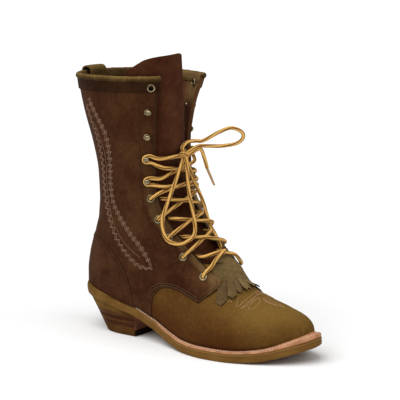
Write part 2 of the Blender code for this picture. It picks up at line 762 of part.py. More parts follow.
def make_kiltie(tree):
    def place(x, y, rise):
        hit = tree.ray_cast(Vector((x, y + OFF_SEAM, 250)), Vector((0, 0, -1)))
        return np.array(hit[0]) + np.array(hit[1]) * (KILTIE_LIFT + rise)

    def ray_out(angle, distance, rise):
        return place(KILTIE_CENTRE + distance * math.cos(angle), distance * math.sin(angle), rise)

    edges = np.linspace(-KILTIE_SPREAD, KILTIE_SPREAD, 2 * KILTIE_STRIPS + 1)
    points, faces = [], []
    rows = 4
    for i in range(rows):
        share = i / (rows - 1)
        for angle in edges:
            root_x = KILTIE_CENTRE + KILTIE_ROOT * math.cos(angle)
            root_y = KILTIE_ROOT * math.sin(angle)
            back_y = KILTIE_HALF * angle / KILTIE_SPREAD
            points.append(place(KILTIE_BACK + (root_x - KILTIE_BACK) * share,
                                back_y + (root_y - back_y) * share, 0))
    faces += grid_faces(rows, len(edges))
    root = (rows - 1) * len(edges)
    for strip in range(KILTIE_STRIPS):
        low, middle, high = edges[2 * strip:2 * strip + 3]
        rise = STRIP_RISE[strip % len(STRIP_RISE)]
        before = [root + 2 * strip + k for k in range(3)]
        for share in (0.12, 0.55, 1.0):
            after = []
            for angle, point in ((low, 0), (middle, STRIP_POINT), (high, 0)):
                narrowed = middle + (angle - middle) * STRIP_SHARE
                reach = KILTIE_ROOT + STRIP_LENGTH * share + point * max(share - 0.55, 0) / 0.45
                after.append(len(points))
                points.append(ray_out(narrowed, reach, rise * share))
            for k in range(2):
                faces.append((before[k], before[k + 1], after[k + 1], after[k]))
            before = after
    mesh = new_mesh("kiltie", points, [face[::-1] for face in faces])
    work = bmesh.new()
    work.from_mesh(mesh)
    work.normal_update()
    if sum(face.normal.z for face in work.faces) < 0:
        bmesh.ops.reverse_faces(work, faces=work.faces)
    work.to_mesh(mesh)
    work.free()
    thicken(add_part("kiltie", mesh, "kiltie_leather"), KILTIE_THICK, 1)


# Eyelets and hooks up each side of the throat: row, reach from the middle and kind, lowest first.
LACE_HOLES = [
    (.610, 29.0, "eyelet"), (.486, 30.0, "eyelet"), (.414, 31.5, "eyelet"), (.354, 33.5, "eyelet"),
    (.293, 35.0, "eyelet"), (.247, 36.0, "hook"), (.193, 36.7, "hook"), (.140, 36.7, "hook"),
    (.079, 37.0, "hook"), (.022, 36.5, "eyelet"),
]
HOLE_RADIUS = 3.35
EYELET_SEAT = OVERLAY_LIFT + QUARTER_THICK + 2 * GAP
COLLAR_SEAT = 2.0 + GAP
EYELET_SIDES = 8
EYELET_PROFILE = [(2.8, 0), (2.8, -4.6), (2.2, -4.6), (2.4, 1.0), (4.4, 0)]


# Place and turn an object so that its z axis leaves the leather and its x axis runs away from the throat.
def seat(obj, row, reach, lift):
    here, normal = front_point(row, reach)
    further, _ = front_point(row, reach + math.copysign(1.0, reach))
    z_axis = Vector(normal)
    x_axis = Vector(further - here)
    x_axis = (x_axis - z_axis * x_axis.dot(z_axis)).normalized()
    y_axis = z_axis.cross(x_axis)
    obj.matrix_local = Matrix((x_axis, y_axis, z_axis)).transposed().to_4x4()
    obj.location = Vector(here + normal * lift) * MM


def both_hands():
    for number, (row, reach, kind) in enumerate(LACE_HOLES, 1):
        for side, hand in ((RIGHT, "right"), (LEFT, "left")):
            yield number, row, side * reach, kind, hand


def make_holes():
    holes = bmesh.new()
    for _, row, reach, kind, _ in both_hands():
        if kind == "eyelet":
            here, normal = front_point(row, reach)
            turn_to = Vector(normal).to_track_quat("Z", "Y").to_matrix().to_4x4()
            turn_to.translation = Vector(here) * MM
            bmesh.ops.create_cone(holes, cap_ends=True, segments=EYELET_SIDES, radius1=HOLE_RADIUS * MM,
                                  radius2=HOLE_RADIUS * MM, depth=12 * MM, matrix=turn_to)
    mesh = bpy.data.meshes.new("eyelet_holes")
    holes.to_mesh(mesh)
    holes.free()
    return add_cutter("eyelet_holes", mesh)


def eyelet_mesh():
    mesh = bpy.data.meshes.new("eyelet")
    work = bmesh.new()
    ring = [work.verts.new((r * MM, 0, z * MM)) for r, z in EYELET_PROFILE]
    edges = [work.edges.new((a, b)) for a, b in zip(ring, ring[1:] + ring[:1])]
    bmesh.ops.spin(work, geom=ring + edges, axis=(0, 0, 1), cent=(0, 0, 0), angle=2 * math.pi,
                   steps=EYELET_SIDES, use_merge=True)
    bmesh.ops.remove_doubles(work, verts=work.verts, dist=1e-6)
    bmesh.ops.recalc_face_normals(work, faces=work.faces)
    work.to_mesh(mesh)
    work.free()
    return mesh


# Hook: a base plate whose tongue of metal bends up on the throat side and back under a domed cap.
HOOK_WIDTH = 5.2
HOOK_OUTLINE = [
    (3.4, 0), (3.4, .8), (-2.6, .8), (-3.2, 2.6), (-2.6, 4.2), (1.0, 4.4), (1.0, 5.2), (-3.0, 5.2),
    (-4.2, 2.8), (-3.6, 0),
]
DOME_RADIUS, DOME_HEIGHT, DOME_BASE = 3.7, 2.6, 4.6


def hook_mesh():
    work = bmesh.new()
    for y in (-HOOK_WIDTH / 2, HOOK_WIDTH / 2):
        ring = [work.verts.new((x * MM, y * MM, z * MM)) for x, z in HOOK_OUTLINE]
        work.faces.new(ring)
    low, high = work.verts[:len(HOOK_OUTLINE)], work.verts[len(HOOK_OUTLINE):]
    for k in range(len(HOOK_OUTLINE)):
        after = (k + 1) % len(HOOK_OUTLINE)
        work.faces.new((low[k], low[after], high[after], high[k]))
    bmesh.ops.recalc_face_normals(work, faces=work.faces)
    arm_mesh = bpy.data.meshes.new("hook_arm")
    work.to_mesh(arm_mesh)
    work.free()
    work = bmesh.new()
    bmesh.ops.create_uvsphere(work, u_segments=8, v_segments=4, radius=1)
    bmesh.ops.scale(work, vec=(DOME_RADIUS * MM, DOME_RADIUS * MM, DOME_HEIGHT * MM), verts=work.verts)
    bmesh.ops.translate(work, vec=(-.8 * MM, 0, (DOME_BASE + .8) * MM), verts=work.verts)
    dome_mesh = bpy.data.meshes.new("hook_dome")
    work.to_mesh(dome_mesh)
    work.free()
    arm = add_cutter("hook_arm", arm_mesh)
    dome = add_cutter("hook_dome", dome_mesh)
    cut(arm, dome, "UNION")
    return joined(arm, "hook")


# The evaluated mesh of an object, with its helpers kept out of the parts.
def joined(obj, name):
    bpy.context.view_layer.update()
    graph = bpy.context.evaluated_depsgraph_get()
    mesh = bpy.data.meshes.new_from_object(obj.evaluated_get(graph))
    mesh.name = name
    obj.modifiers.clear()
    return mesh


def make_hardware():
    meshes = {"eyelet": eyelet_mesh(), "hook": hook_mesh()}
    for number, row, reach, kind, hand in both_hands():
        obj = add_part(f"{kind}_{hand}_{number}", meshes[kind], "nickel")
        seat(obj, row, reach, COLLAR_SEAT if number == len(LACE_HOLES) else EYELET_SEAT)


# Lace: crossings between the flaps, a bar under the knot, then the knot, loops and ends of the bow.
LACE_RADIUS = 1.8
LACE_CLEAR = LACE_RADIUS + 1.0
OVER_EYELET = 5.6
OVER_FLAP = 4.6
OVER_KILTIE = 6.2
HOOK_CLEAR = 7.2
STRAND_STEP = (0.5, 0.0, 0.3)
PAST_EDGE = 2.0
SHORT_OF_EDGE = 5.0
CROSSING_SHARES = (0.3, 0.5, 0.7)
LACED_HOLES = 7
KNOT_SIZE = (4.2, 5.5, 5.0)
# Each cord of the bow leaves the knot in a direction, goes by its own points and may come back to the knot.
BOW_CORDS = {
    "lace_loop_hanging": ((.20, -.62, -.76), [
        (134, -26, 169.5), (132, -39, 143.5), (135, -43, 128), (142, -42, 117.8), (154.8, -38, 116),
        (159, -23, 121), (155, -13, 129), (150, -10, 145.5), (143, -8, 168.5),
    ], (.70, -.16, -.70)),
    "lace_loop_side": ((-.10, -.25, .96), [
        (130.5, -2.5, 213.5), (132.5, 3.5, 218.4), (138.7, 9, 219.6), (146, 14.5, 220), (158, 28, 229),
        (168, 36, 233), (177, 42, 229), (179, 42, 222.5), (174, 36, 216.5), (160, 26, 213.8), (147, 16, 214),
        (141, 10.5, 213.4),
    ], (.45, .55, .70)),
    "lace_end_short": ((.93, .05, .36), [
        (138.5, .6, 206.2), (146, 8.3, 211.5), (149.8, 10.8, 202), (152.3, 12.6, 190.8),
    ], None),
    "lace_end_long": ((.25, .42, -.87), [
        (136, 9, 178.5), (138, 17, 163), (141.4, 20.6, 150.6), (146.4, 19.9, 138.1), (152.4, 18.1, 127.3),
        (159.6, 15.8, 120.1), (167.6, 12.4, 112.9), (172, 12.2, 104.7),
    ], None),
}
LACE_TIPS = {"lace_tip_short": (152.5, 12.7, 190.0), "lace_tip_long": (172.5, 12.1, 103.9)}
TIP_WAYS = {"lace_tip_short": (7.6, 2.4, -17.5), "lace_tip_long": (6.1, -1.9, -8.3)}
TIP_RADIUS = 1.5
FROM_KNOT = 0.9


# Tube along a route, as a curve object with filled caps.
def cord(name, route, count, radius, material_name):
    data = bpy.data.curves.new(name, "CURVE")
    data.dimensions = "3D"
    data.bevel_depth = radius * MM
    data.bevel_resolution = 1
    data.use_fill_caps = True
    spline = data.splines.new("POLY")
    spline.points.add(count - 1)
    for point, place in zip(spline.points, through(route, count)):
        point.co = (*(place * MM), 1)
    data.materials.append(material(material_name))
    obj = bpy.data.objects.new(name, data)
    PARTS.objects.link(obj)
    obj.parent = LAST
    return obj


# The same tube made into a mesh with its caps welded.
def cord_mesh(name, route, count):
    curve = cord(name + "_route", route, count, LACE_RADIUS, "lace_cord")
    mesh = joined(curve, name)
    work = bmesh.new()
    work.from_mesh(mesh)
    bmesh.ops.remove_doubles(work, verts=work.verts, dist=1e-6)
    bmesh.ops.recalc_face_normals(work, faces=work.faces)
    work.to_mesh(mesh)
    work.free()
    bpy.data.objects.remove(curve, do_unlink=True)
    return mesh


def lifted(row, reach, lift):
    here, normal = front_point(row, reach)
    return here + normal * lift


# A place on the straight line between two points, moved out where the tongue or kiltie is in the way.
def over_tongue(start, end, rows, reaches, share, lowest=None):
    row = rows[0] + (rows[1] - rows[0]) * share
    reach = reaches[0] + (reaches[1] - reaches[0]) * share
    here, normal = front_point(row, reach, False)
    straight = start + (end - start) * share
    floor = LACE_CLEAR - tongue_depth(row, reach) if lowest is None else lowest
    return straight + normal * max(floor - (straight - here) @ normal, 0)


def crossing_routes(number):
    (row, reach, kind), (next_row, _, next_kind) = LACE_HOLES[number - 1:number + 1]
    way = next_row - row
    rows = (row + 0.3 * way, row + (0.6 if next_kind == "hook" else 0.9) * way)
    edge, far_edge = (smooth(r, THROAT["row"], THROAT["half"]) for r in rows)
    for side in (RIGHT, LEFT):
        reaches = (side * (edge - PAST_EDGE), -side * (far_edge - SHORT_OF_EDGE))
        start = lifted(rows[0], reaches[0], OVER_FLAP)
        end = lifted(rows[1], reaches[1], 1.0)
        if kind == "hook":
            start = lifted(row, side * (reach - HOOK_CLEAR), OVER_FLAP)
        lowest = OVER_KILTIE if number == 1 else None
        route = [over_tongue(start, end, rows, reaches, share, lowest) for share in CROSSING_SHARES]
        if side == LEFT:
            # The upper strand rides a little in front of the lower one.
            route = [place + np.array(STRAND_STEP) for place in route]
        if kind == "hook":
            yield [start, *route, end]
        else:
            yield [lifted(row, side * reach, OVER_EYELET), start, *route, end]


def make_laces():
    for number in range(1, LACED_HOLES):
        name = f"lace_crossing_{number}"
        right_route, left_route = crossing_routes(number)
        crossing = add_part(name, cord_mesh(name, right_route, 7), "lace_cord")
        other = add_cutter(name + "_other", cord_mesh(name + "_other", left_route, 7))
        cut(crossing, other, "UNION")
    row, reach, _ = LACE_HOLES[LACED_HOLES - 1]
    ends = [lifted(row, side * (reach - HOOK_CLEAR), OVER_FLAP) for side in (RIGHT, LEFT)]
    reaches = (HOOK_CLEAR - reach, reach - HOOK_CLEAR)
    route = [over_tongue(*ends, (row, row), reaches, share) for share in CROSSING_SHARES]
    cord("lace_bar_top", [ends[0], *route, ends[1]], 9, LACE_RADIUS, "lace_cord")
    make_bow(route[1])


def make_bow(bar_middle):
    work = bmesh.new()
    bmesh.ops.create_uvsphere(work, u_segments=10, v_segments=6, radius=1)
    bmesh.ops.scale(work, vec=Vector(KNOT_SIZE) * MM, verts=work.verts)
    knot = np.array(bar_middle) + np.array((LACE_RADIUS + KNOT_SIZE[0] + GAP, 0, 0))
    bmesh.ops.translate(work, vec=Vector(knot) * MM, verts=work.verts)
    mesh = bpy.data.meshes.new("lace_knot")
    work.to_mesh(mesh)
    work.free()
    add_part("lace_knot", mesh, "lace_cord")

    def from_knot(direction):
        radius = 1 / np.linalg.norm(np.array(direction) / KNOT_SIZE)
        return knot + np.array(direction) * (radius + FROM_KNOT)

    for name, (leaving, middle, returning) in BOW_CORDS.items():
        route = [from_knot(leaving), *middle]
        if returning:
            route.append(from_knot(returning))
        cord(name, route, 3 * len(route) // 2 + 3, LACE_RADIUS, "lace_cord")
    for name, start in LACE_TIPS.items():
        start = np.array(start)
        cord(name, [start, start + TIP_WAYS[name]], 2, TIP_RADIUS, "lace_tip")


clear_scene()
PARTS = new_collection("lace_up_boot")
CUTTERS = new_collection("cutters")
LAST = bpy.data.objects.new("last_frame", None)
PARTS.objects.link(LAST)
LAST.location = (-HEEL_MIDDLE * MM, 0, 0)

upper_points, upper_faces = both_sides(ROWS, COLUMNS)
UPPER_TREE = BVHTree.FromPolygons(upper_points.tolist(), upper_faces)

LAST_TREE = BVHTree.FromPolygons(*closed_last())

make_outsole()
make_heel()
make_welt(UPPER_TREE)
hole_cutter = make_holes()
cut(make_upper(), hole_cutter)
make_insole()
make_tongue()
make_quarters(hole_cutter)
make_counter()
make_collar(hole_cutter)
make_pull_loop()
make_kiltie(LAST_TREE)
make_hardware()
make_laces()
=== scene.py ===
# Looks of the lace-up boot: leather, stitching, hardware and lace over the part's frame, in a plain studio.
# Shapes are worked out in millimetres in the last's own frame: x from the back of the outsole to the toe,
# y to the wearer's left, z up from the floor. They are moved to metres as each piece is made.

import math

import bpy
import numpy as np
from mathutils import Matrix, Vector
from mathutils.bvhtree import BVHTree


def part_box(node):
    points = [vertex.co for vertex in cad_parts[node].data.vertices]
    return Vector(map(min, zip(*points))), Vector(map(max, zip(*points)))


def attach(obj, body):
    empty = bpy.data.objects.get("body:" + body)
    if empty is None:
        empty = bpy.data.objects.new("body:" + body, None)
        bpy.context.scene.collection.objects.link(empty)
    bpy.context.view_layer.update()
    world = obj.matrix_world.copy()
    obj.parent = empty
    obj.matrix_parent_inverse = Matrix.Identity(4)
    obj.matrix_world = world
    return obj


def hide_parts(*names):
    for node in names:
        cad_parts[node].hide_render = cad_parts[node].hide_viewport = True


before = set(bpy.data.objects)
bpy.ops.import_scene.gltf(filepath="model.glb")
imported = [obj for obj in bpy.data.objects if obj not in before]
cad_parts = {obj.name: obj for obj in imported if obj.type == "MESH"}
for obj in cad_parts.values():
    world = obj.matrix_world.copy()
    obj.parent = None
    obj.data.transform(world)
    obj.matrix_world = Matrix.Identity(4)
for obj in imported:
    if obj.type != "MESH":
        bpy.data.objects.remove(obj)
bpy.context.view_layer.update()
scene = bpy.context.scene
mm = 0.001
heelMiddle = 57.5
right, left = -1, 1

# Camera at the photo's angle
cameraLook = {"place": (1.0130, -1.2546, 0.4486), "aim": (0.0898, 0.0065, 0.1559), "lens": 132.03}
cameraData = bpy.data.cameras.new("camera")
cameraData.lens = cameraLook["lens"]
cameraData.sensor_width = 36
cameraData.clip_start = 0.05
camera = bpy.data.objects.new("camera", cameraData)
camera.location = cameraLook["place"]
cameraWay = Vector(cameraLook["aim"]) - Vector(cameraLook["place"])
camera.rotation_euler = cameraWay.to_track_quat("-Z", "Y").to_euler()
scene.collection.objects.link(camera)
scene.camera = camera
print("stage: camera")


# The last's surface, with the part's own tables

def table(names, rows):
    return dict(zip(names.split(), np.array(rows, float).T))


planTable = table("x right left", [
    (0, 0, 0), (1.5, 9, 9), (6, 18, 18), (14, 25.5, 25.5), (28, 31, 31), (50, 33.5, 33),
    (82, 33, 31), (110, 35.5, 29), (140, 43, 32), (170, 52, 38.5), (192, 55, 43.5), (215, 53, 47),
    (240, 45.5, 46.5), (262, 35, 41), (280, 23, 34), (292, 11.5, 25), (298, 2, 16), (300, -5.5, 5.5),
])
undersideTable = table("x z", [
    (0, 39.5), (40, 33), (84, 24), (110, 15.8), (140, 5.2), (160, 1), (176, 0), (220, 0),
    (250, 2.4), (280, 10), (300, 17),
])
marginTable = table("x margin", [(0, 3.5), (60, 4), (120, 5), (200, 7), (260, 7.5), (300, 7.5)])
sectionTable = table("row frontX frontZ backX backZ half middle topPower lowPower", [
    (0.00, 130, 290, -1, 288, 53, .50, 2.3, 2.2), (0.08, 125, 253, 8, 251, 50, .50, 2.3, 2.2),
    (0.17, 125.5, 214, 19.5, 210, 45, .48, 2.3, 2.2), (0.23, 128, 187, 25, 180, 42, .46, 2.3, 2.3),
    (0.28, 133, 168, 25.5, 155, 40, .44, 2.3, 2.4), (0.33, 141, 150, 22, 130, 38, .40, 2.3, 2.5),
    (0.38, 151, 135, 15.5, 107, 37, .38, 2.2, 2.6), (0.43, 163, 120, 8, 85, 36, .36, 2.2, 2.6),
    (0.48, 176, 108, 3.8, 63, 35.2, .34, 2.2, 2.6), (0.515, 185, 100.5, 3.5, 46.5, 34.8, .335, 2.2, 2.6),
    (0.56, 192, 95, 30, 0, 34.6, .35, 2.2, 2.6), (0.62, 200, 89, 80, 0, 35.4, .40, 2.1, 2.5),
    (0.68, 208, 82.5, 130, 0, 38, .48, 2.0, 2.5), (0.74, 217, 73.5, 168, 0, 43, .58, 1.95, 2.5),
    (0.80, 229, 64.5, 203, 0, 47, .66, 2.0, 2.5), (0.86, 244, 57.5, 232, 0, 44, .66, 2.1, 2.5),
    (0.91, 258, 52.8, 253, 0, 36, .64, 2.2, 2.5), (0.95, 271, 49, 271, 0, 26, .62, 2.3, 2.5),
    (0.975, 281, 45.3, 283, 0, 17, .60, 2.3, 2.5), (0.99, 288.5, 40, 290, 0, 9, .55, 2.2, 2.5),
    (1.00, 292.5, 25, 292.5, 0, 0, .50, 2.0, 2.0),
])
throatTable = table("row half", [(0, 30), (0.2, 30.5), (0.3, 31), (0.36, 29), (0.43, 26), (0.515, 24)])
throatEnd = 0.56
heelRow = 0.515
shaftPerRow = 462.0
wall = 2.2
quarterLift = 1.6
counterLift = 2.4
outsoleThick = 7.0
weltTop = 11.5


def toWorld(points):
    return (np.asarray(points, float) - (heelMiddle, 0, 0)) * mm


# Monotone cubic through the knots, held level past both ends.
def smooth(at, knots, values):
    steps = np.diff(knots)
    slopes = np.diff(values) / steps
    tangents = np.concatenate([slopes[:1], np.zeros(len(knots) - 2), slopes[-1:]])
    before, after = slopes[:-1], slopes[1:]
    rising = before * after > 0
    heavyAfter = 2 * steps[1:] + steps[:-1]
    heavyBefore = steps[1:] + 2 * steps[:-1]
    mean = (heavyAfter + heavyBefore) / (
        heavyAfter / np.where(rising, before, 1.0) + heavyBefore / np.where(rising, after, 1.0))
    tangents[1:-1] = np.where(rising, mean, 0.0)
    at = np.clip(np.asarray(at, float), knots[0], knots[-1])
    k = np.clip(np.searchsorted(knots, at, side="right") - 1, 0, len(steps) - 1)
    u = (at - knots[k]) / steps[k]
    rise = values[k] * (1 + 2 * u) * (1 - u) ** 2 + tangents[k] * steps[k] * u * (1 - u) ** 2
    return rise + values[k + 1] * u * u * (3 - 2 * u) + tangents[k + 1] * steps[k] * u * u * (u - 1)


# 0 below low, 1 above high, an S curve between.
def softStep(low, high, value):
    share = np.clip((value - low) / (high - low), 0, 1)
    return share * share * (3 - 2 * share)


# Angle from 0 at the back to pi at the toe, which spreads the round ends of an outline.
def turn(x):
    return np.arccos(np.clip(1 - 2 * np.asarray(x, float) / 300, -1, 1))


def plan(x):
    return (-smooth(turn(x), turn(planTable["x"]), planTable["right"]),
            smooth(turn(x), turn(planTable["x"]), planTable["left"]))


def underside(x):
    return smooth(x, undersideTable["x"], undersideTable["z"])


def margin(x):
    return smooth(x, marginTable["x"], marginTable["margin"])


# Centre and half width of the upper's lower edge at x.
def feather(x):
    low, high = plan((x - 3.5) / 289 * 300)
    half = (high - low) / 2
    return (high + low) / 2, np.maximum(half - margin(x) * np.minimum(1, half / 12), 0)


# Section values at each row, as columns, with the centre and half width of the lower edge.
def sectionValues(rows):
    value = {name: smooth(rows, sectionTable["row"], sectionTable[name])[:, None] for name in sectionTable}
    foot = value["row"] >= heelRow
    seatRise = 0.9 * np.clip(1 - value["backX"] / 40, 0, 1)
    value["backZ"] = np.where(foot, underside(value["backX"]) + outsoleThick + 0.6 + seatRise, value["backZ"])
    centre, edge = feather(value["backX"])
    value["centre"] = np.where(foot, centre, 0.0)
    edge = np.where(foot, edge, 0.0)
    value["half"] = np.maximum(value["half"], edge * 1.02)
    share = np.clip(edge / np.maximum(value["half"], 1e-6), 0, 0.985)
    value["lastAngle"] = np.pi - np.arcsin(share ** (value["lowPower"] / 2))
    return value


# How the left flap is folded forward near the collar: rows, power, way forward, and reaches from the middle
foldLook = {"rows": 0.15, "power": 1.3, "forward": 13.5, "reach": 44, "edge": 30, "most": 1.5}


# Two superellipse arcs that meet at the half width: angle 0 is the front or top, the last angle the back
# seam or lower edge.
def lastPoints(value, angle, side, folded=True):
    cosine, sine = np.abs(np.cos(angle)), np.abs(np.sin(angle))
    upperArc = angle <= np.pi / 2
    lowEnd = np.abs(np.cos(value["lastAngle"])) ** (2 / value["lowPower"])
    downTop = value["middle"] * (1 - cosine ** (2 / value["topPower"]))
    downLow = value["middle"] + (1 - value["middle"]) * cosine ** (2 / value["lowPower"]) / lowEnd
    down = np.where(upperArc, downTop, downLow)
    reach = value["half"] * sine ** (2 / np.where(upperArc, value["topPower"], value["lowPower"]))
    x = value["frontX"] + (value["backX"] - value["frontX"]) * down
    z = value["frontZ"] + (value["backZ"] - value["frontZ"]) * down
    bend = np.clip(1 - value["row"] / foldLook["rows"], 0, 1) ** foldLook["power"]
    fold = foldLook["forward"] * bend * folded * (np.asarray(side) == left)
    nearEdge = np.clip(1 - reach / foldLook["reach"], 0, 1) / (1 - foldLook["edge"] / foldLook["reach"])
    x = x + fold * np.where(upperArc, np.minimum(nearEdge, foldLook["most"]), 0)
    return np.stack([x, value["centre"] + side * reach, z], -1)


# Reach of a flap's edge from the middle: the left flap lies further over the tongue low in the throat.
def flapReach(rows, side):
    over = (7 + 5 * softStep(0.36, 0.48, rows)) * softStep(0.28, 0.38, rows) * softStep(0.57, 0.53, rows)
    return smooth(rows, throatTable["row"], throatTable["half"]) - over * (side == left)


# The same with the throat's round lower end.
def throatHalf(rows, side=right):
    past = np.clip((rows - heelRow) / (throatEnd - heelRow), 0, 1)
    return flapReach(rows, side) * np.sqrt(1 - past ** 2)


# Angle on the front arc where the surface has the given reach from its centre.
def reachAngle(value, reach):
    share = np.clip(reach / np.maximum(value["half"], 1e-6), 0, 1)
    return np.arcsin(share ** (value["topPower"] / 2))


# Grid of one side: columns split each row evenly, and those near the throat close up to leave its opening.
def sideGrid(rows, columns, side, openThroat=True):
    value = sectionValues(rows)
    dense = np.linspace(0, 1, 241)
    points = lastPoints(value, value["lastAngle"] * dense[None, :], side)
    first = (reachAngle(value, throatHalf(rows, side)[:, None]) / value["lastAngle"])[:, 0]
    lengths = np.linalg.norm(np.diff(points, axis=1), axis=-1)
    along = np.concatenate([np.zeros((len(rows), 1)), np.cumsum(lengths, axis=1)], axis=1)
    grid = np.empty((len(rows), len(columns), 3))
    for k in range(len(rows)):
        opening = np.interp(first[k], dense, along[k]) if openThroat else 0.0
        wanted = columns * along[k, -1] + opening * (1 - columns) ** 3
        grid[k] = np.stack([np.interp(wanted, along[k], points[k, :, axis]) for axis in range(3)], -1)
    return grid


def unit(vectors):
    return vectors / np.maximum(np.linalg.norm(vectors, axis=-1, keepdims=True), 1e-9)


# Outward directions of a side's grid, kept in the middle plane along the back seam and the ridge.
def gridNormals(grid, rows, side):
    normal = unit(np.cross(np.gradient(grid, axis=1), np.gradient(grid, axis=0)) * -side)
    normal[rows >= throatEnd, 0, 1] = 0
    normal[rows <= heelRow, -1, 1] = 0
    normal[-1] = (1, 0, 0)
    return unit(normal)


# Points on the front arc at rows and signed reaches, with outward directions from two small steps.
def frontPoints(rows, reaches, folded=True):
    rows, reaches = np.broadcast_arrays(np.asarray(rows, float), np.asarray(reaches, float))
    shape = rows.shape
    rows, reaches = rows.ravel(), reaches.ravel()
    side = np.where(reaches >= 0, left, right)[:, None]
    reach = np.maximum(np.abs(reaches), 0.4)[:, None]

    def at(someRows, someReach):
        value = sectionValues(np.maximum(someRows, 0))
        found = lastPoints(value, reachAngle(value, someReach), side, folded)[:, 0]
        found[:, 2] += shaftPerRow * np.maximum(-someRows, 0)
        return found

    here = at(rows, reach)
    along = at(rows + 0.002, reach) - at(rows - 0.002, reach)
    normal = unit(np.cross(here - at(rows, reach - 0.2), along) * side)
    normal = np.where(normal[:, :1] < 0, -normal, normal)
    return here.reshape(*shape, 3), normal.reshape(*shape, 3)


def lifted(row, reach, lift, folded=True):
    here, normal = frontPoints(row, reach, folded)
    return here + normal * np.asarray(lift)[..., None]


# Evenly spaced points on a smooth curve through a route's own points.
def through(route, count):
    route = np.asarray(route, float)
    padded = np.vstack([2 * route[0] - route[1], route, 2 * route[-1] - route[-2]])
    u = np.linspace(0, 1, 17)[1:, None, None]
    a, b, c, d = padded[:-3], padded[1:-2], padded[2:-1], padded[3:]
    bend = 2 * b + (c - a) * u + (2 * a - 5 * b + 4 * c - d) * u ** 2 + (3 * b - a - 3 * c + d) * u ** 3
    curve = np.vstack([route[:1], bend.transpose(1, 0, 2).reshape(-1, route.shape[1]) / 2])
    return spaced(curve, count)[0]


def lengths(path):
    return np.concatenate([[0], np.cumsum(np.linalg.norm(np.diff(path, axis=0), axis=1))])


# Points at even distances along a path, with their unit tangents.
def spaced(path, count):
    along = lengths(path)
    wanted = np.linspace(0, along[-1], count)
    points = np.stack([np.interp(wanted, along, column) for column in np.asarray(path).T], -1)
    return points, unit(np.gradient(points, axis=0))


# Quads of a grid of rows and columns, or of one whose rows close on themselves.
def gridFaces(rows, columns, closed=False):
    i, j = np.meshgrid(np.arange(rows - 1), np.arange(columns - (not closed)), indexing="ij")
    here, below = i * columns, (i + 1) * columns
    after = (j + 1) % columns
    return np.stack([here + j, here + after, below + after, below + j], -1).reshape(-1, 4)


# Rows of closed profiles as a solid: sides between the rows, and a cap at each end.
def capped(rings):
    rows, count = rings.shape[:2]
    caps = np.stack([np.arange(count)[::-1], np.arange(count) + count * (rows - 1)])
    return rings.reshape(-1, 3), [gridFaces(rows, count, True), caps]


# Mesh piece on the root body from points in millimetres, with float or vector attributes per point.
def makePiece(name, points, faces, material, slot, nodes=(), values=None, flip=False):
    mesh = bpy.data.meshes.new(name)
    lists = [face for block in (faces if isinstance(faces, list) else [faces]) for face in block.tolist()]
    mesh.from_pydata(toWorld(points).tolist(), [], [face[::-1] for face in lists] if flip else lists)
    for key, data in (values or {}).items():
        data = np.asarray(data, np.float32)
        kind = "FLOAT" if data.ndim == 1 else "FLOAT_VECTOR"
        layer = mesh.attributes.new(key, kind, "POINT")
        layer.data.foreach_set("value" if data.ndim == 1 else "vector", data.ravel())
    mesh.materials.append(material)
    mesh.shade_smooth()
    piece = bpy.data.objects.new(name, mesh)
    scene.collection.objects.link(piece)
    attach(piece, "root")
    if nodes:
        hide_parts(*nodes)
    return piece


# Several meshes as one: points stacked, faces counted on, values joined by key.
def joinMeshes(parts):
    counts = np.cumsum([0] + [len(part[0]) for part in parts])
    faces = [block + start for part, start in zip(parts, counts) for block in part[1]]
    values = {}
    if len(parts[0]) > 2:
        values = {key: np.concatenate([part[2][key] for part in parts]) for key in parts[0][2]}
    return np.concatenate([part[0] for part in parts]), faces, values


# Tube along a path: rings at the radius round it, turned by carrying one direction along, with round caps.
# The wrap attribute holds the cosine and sine round the tube and the way along it in millimetres.
def tube(path, radius, sides=12):
    path = np.asarray(path, float)
    tangent = unit(np.gradient(path, axis=0))
    across = np.empty_like(path)
    carried = np.cross(tangent[0], (0.3, 0.2, 1.0))
    for k in range(len(path)):
        carried = carried - tangent[k] * (carried @ tangent[k])
        carried = carried / np.linalg.norm(carried)
        across[k] = carried
    other = np.cross(tangent, across)
    angle = np.linspace(0, 2 * np.pi, sides, endpoint=False)
    cosine, sine = np.cos(angle), np.sin(angle)
    ring = cosine[None, :, None] * across[:, None] + sine[None, :, None] * other[:, None]
    radius = np.broadcast_to(radius, len(path))
    rings = path[:, None] + ring * radius[:, None, None]
    ends = np.stack([path[0] - tangent[0] * radius[0] * 0.6, path[-1] + tangent[-1] * radius[-1] * 0.6])
    first = len(path) * sides
    last = first - sides
    spin = np.arange(sides)
    after = (spin + 1) % sides
    caps = np.concatenate([np.stack([after, spin, np.full(sides, first)], -1),
                           np.stack([last + spin, last + after, np.full(sides, first + 1)], -1)])
    along = np.append(np.repeat(lengths(path), sides), [0, lengths(path)[-1]])
    turned = [np.append(np.tile(cosine, len(path)), [1, 1]), np.append(np.tile(sine, len(path)), [0, 0])]
    points = np.concatenate([rings.reshape(-1, 3), ends])
    return points, [gridFaces(len(path), sides, True), caps], {"wrap": np.stack([*turned, along], -1)}


# Shader helpers

def addNode(tree, kind, inputs=None, **settings):
    made = tree.nodes.new(kind)
    for key, value in settings.items():
        setattr(made, key, value)
    for key, value in (inputs or {}).items():
        if isinstance(value, bpy.types.NodeSocket):
            tree.links.new(value, made.inputs[key])
        else:
            made.inputs[key].default_value = value
    return made


def maths(tree, operation, *values):
    return addNode(tree, "ShaderNodeMath", dict(enumerate(values)), operation=operation).outputs[0]


def times(tree, first, second):
    return maths(tree, "MULTIPLY", first, second)


# S curve from 0 at low to 1 at high.
def band(tree, value, low, high):
    inputs = {"Value": value, "From Min": low, "From Max": high}
    return addNode(tree, "ShaderNodeMapRange", inputs, interpolation_type="SMOOTHSTEP").outputs[0]


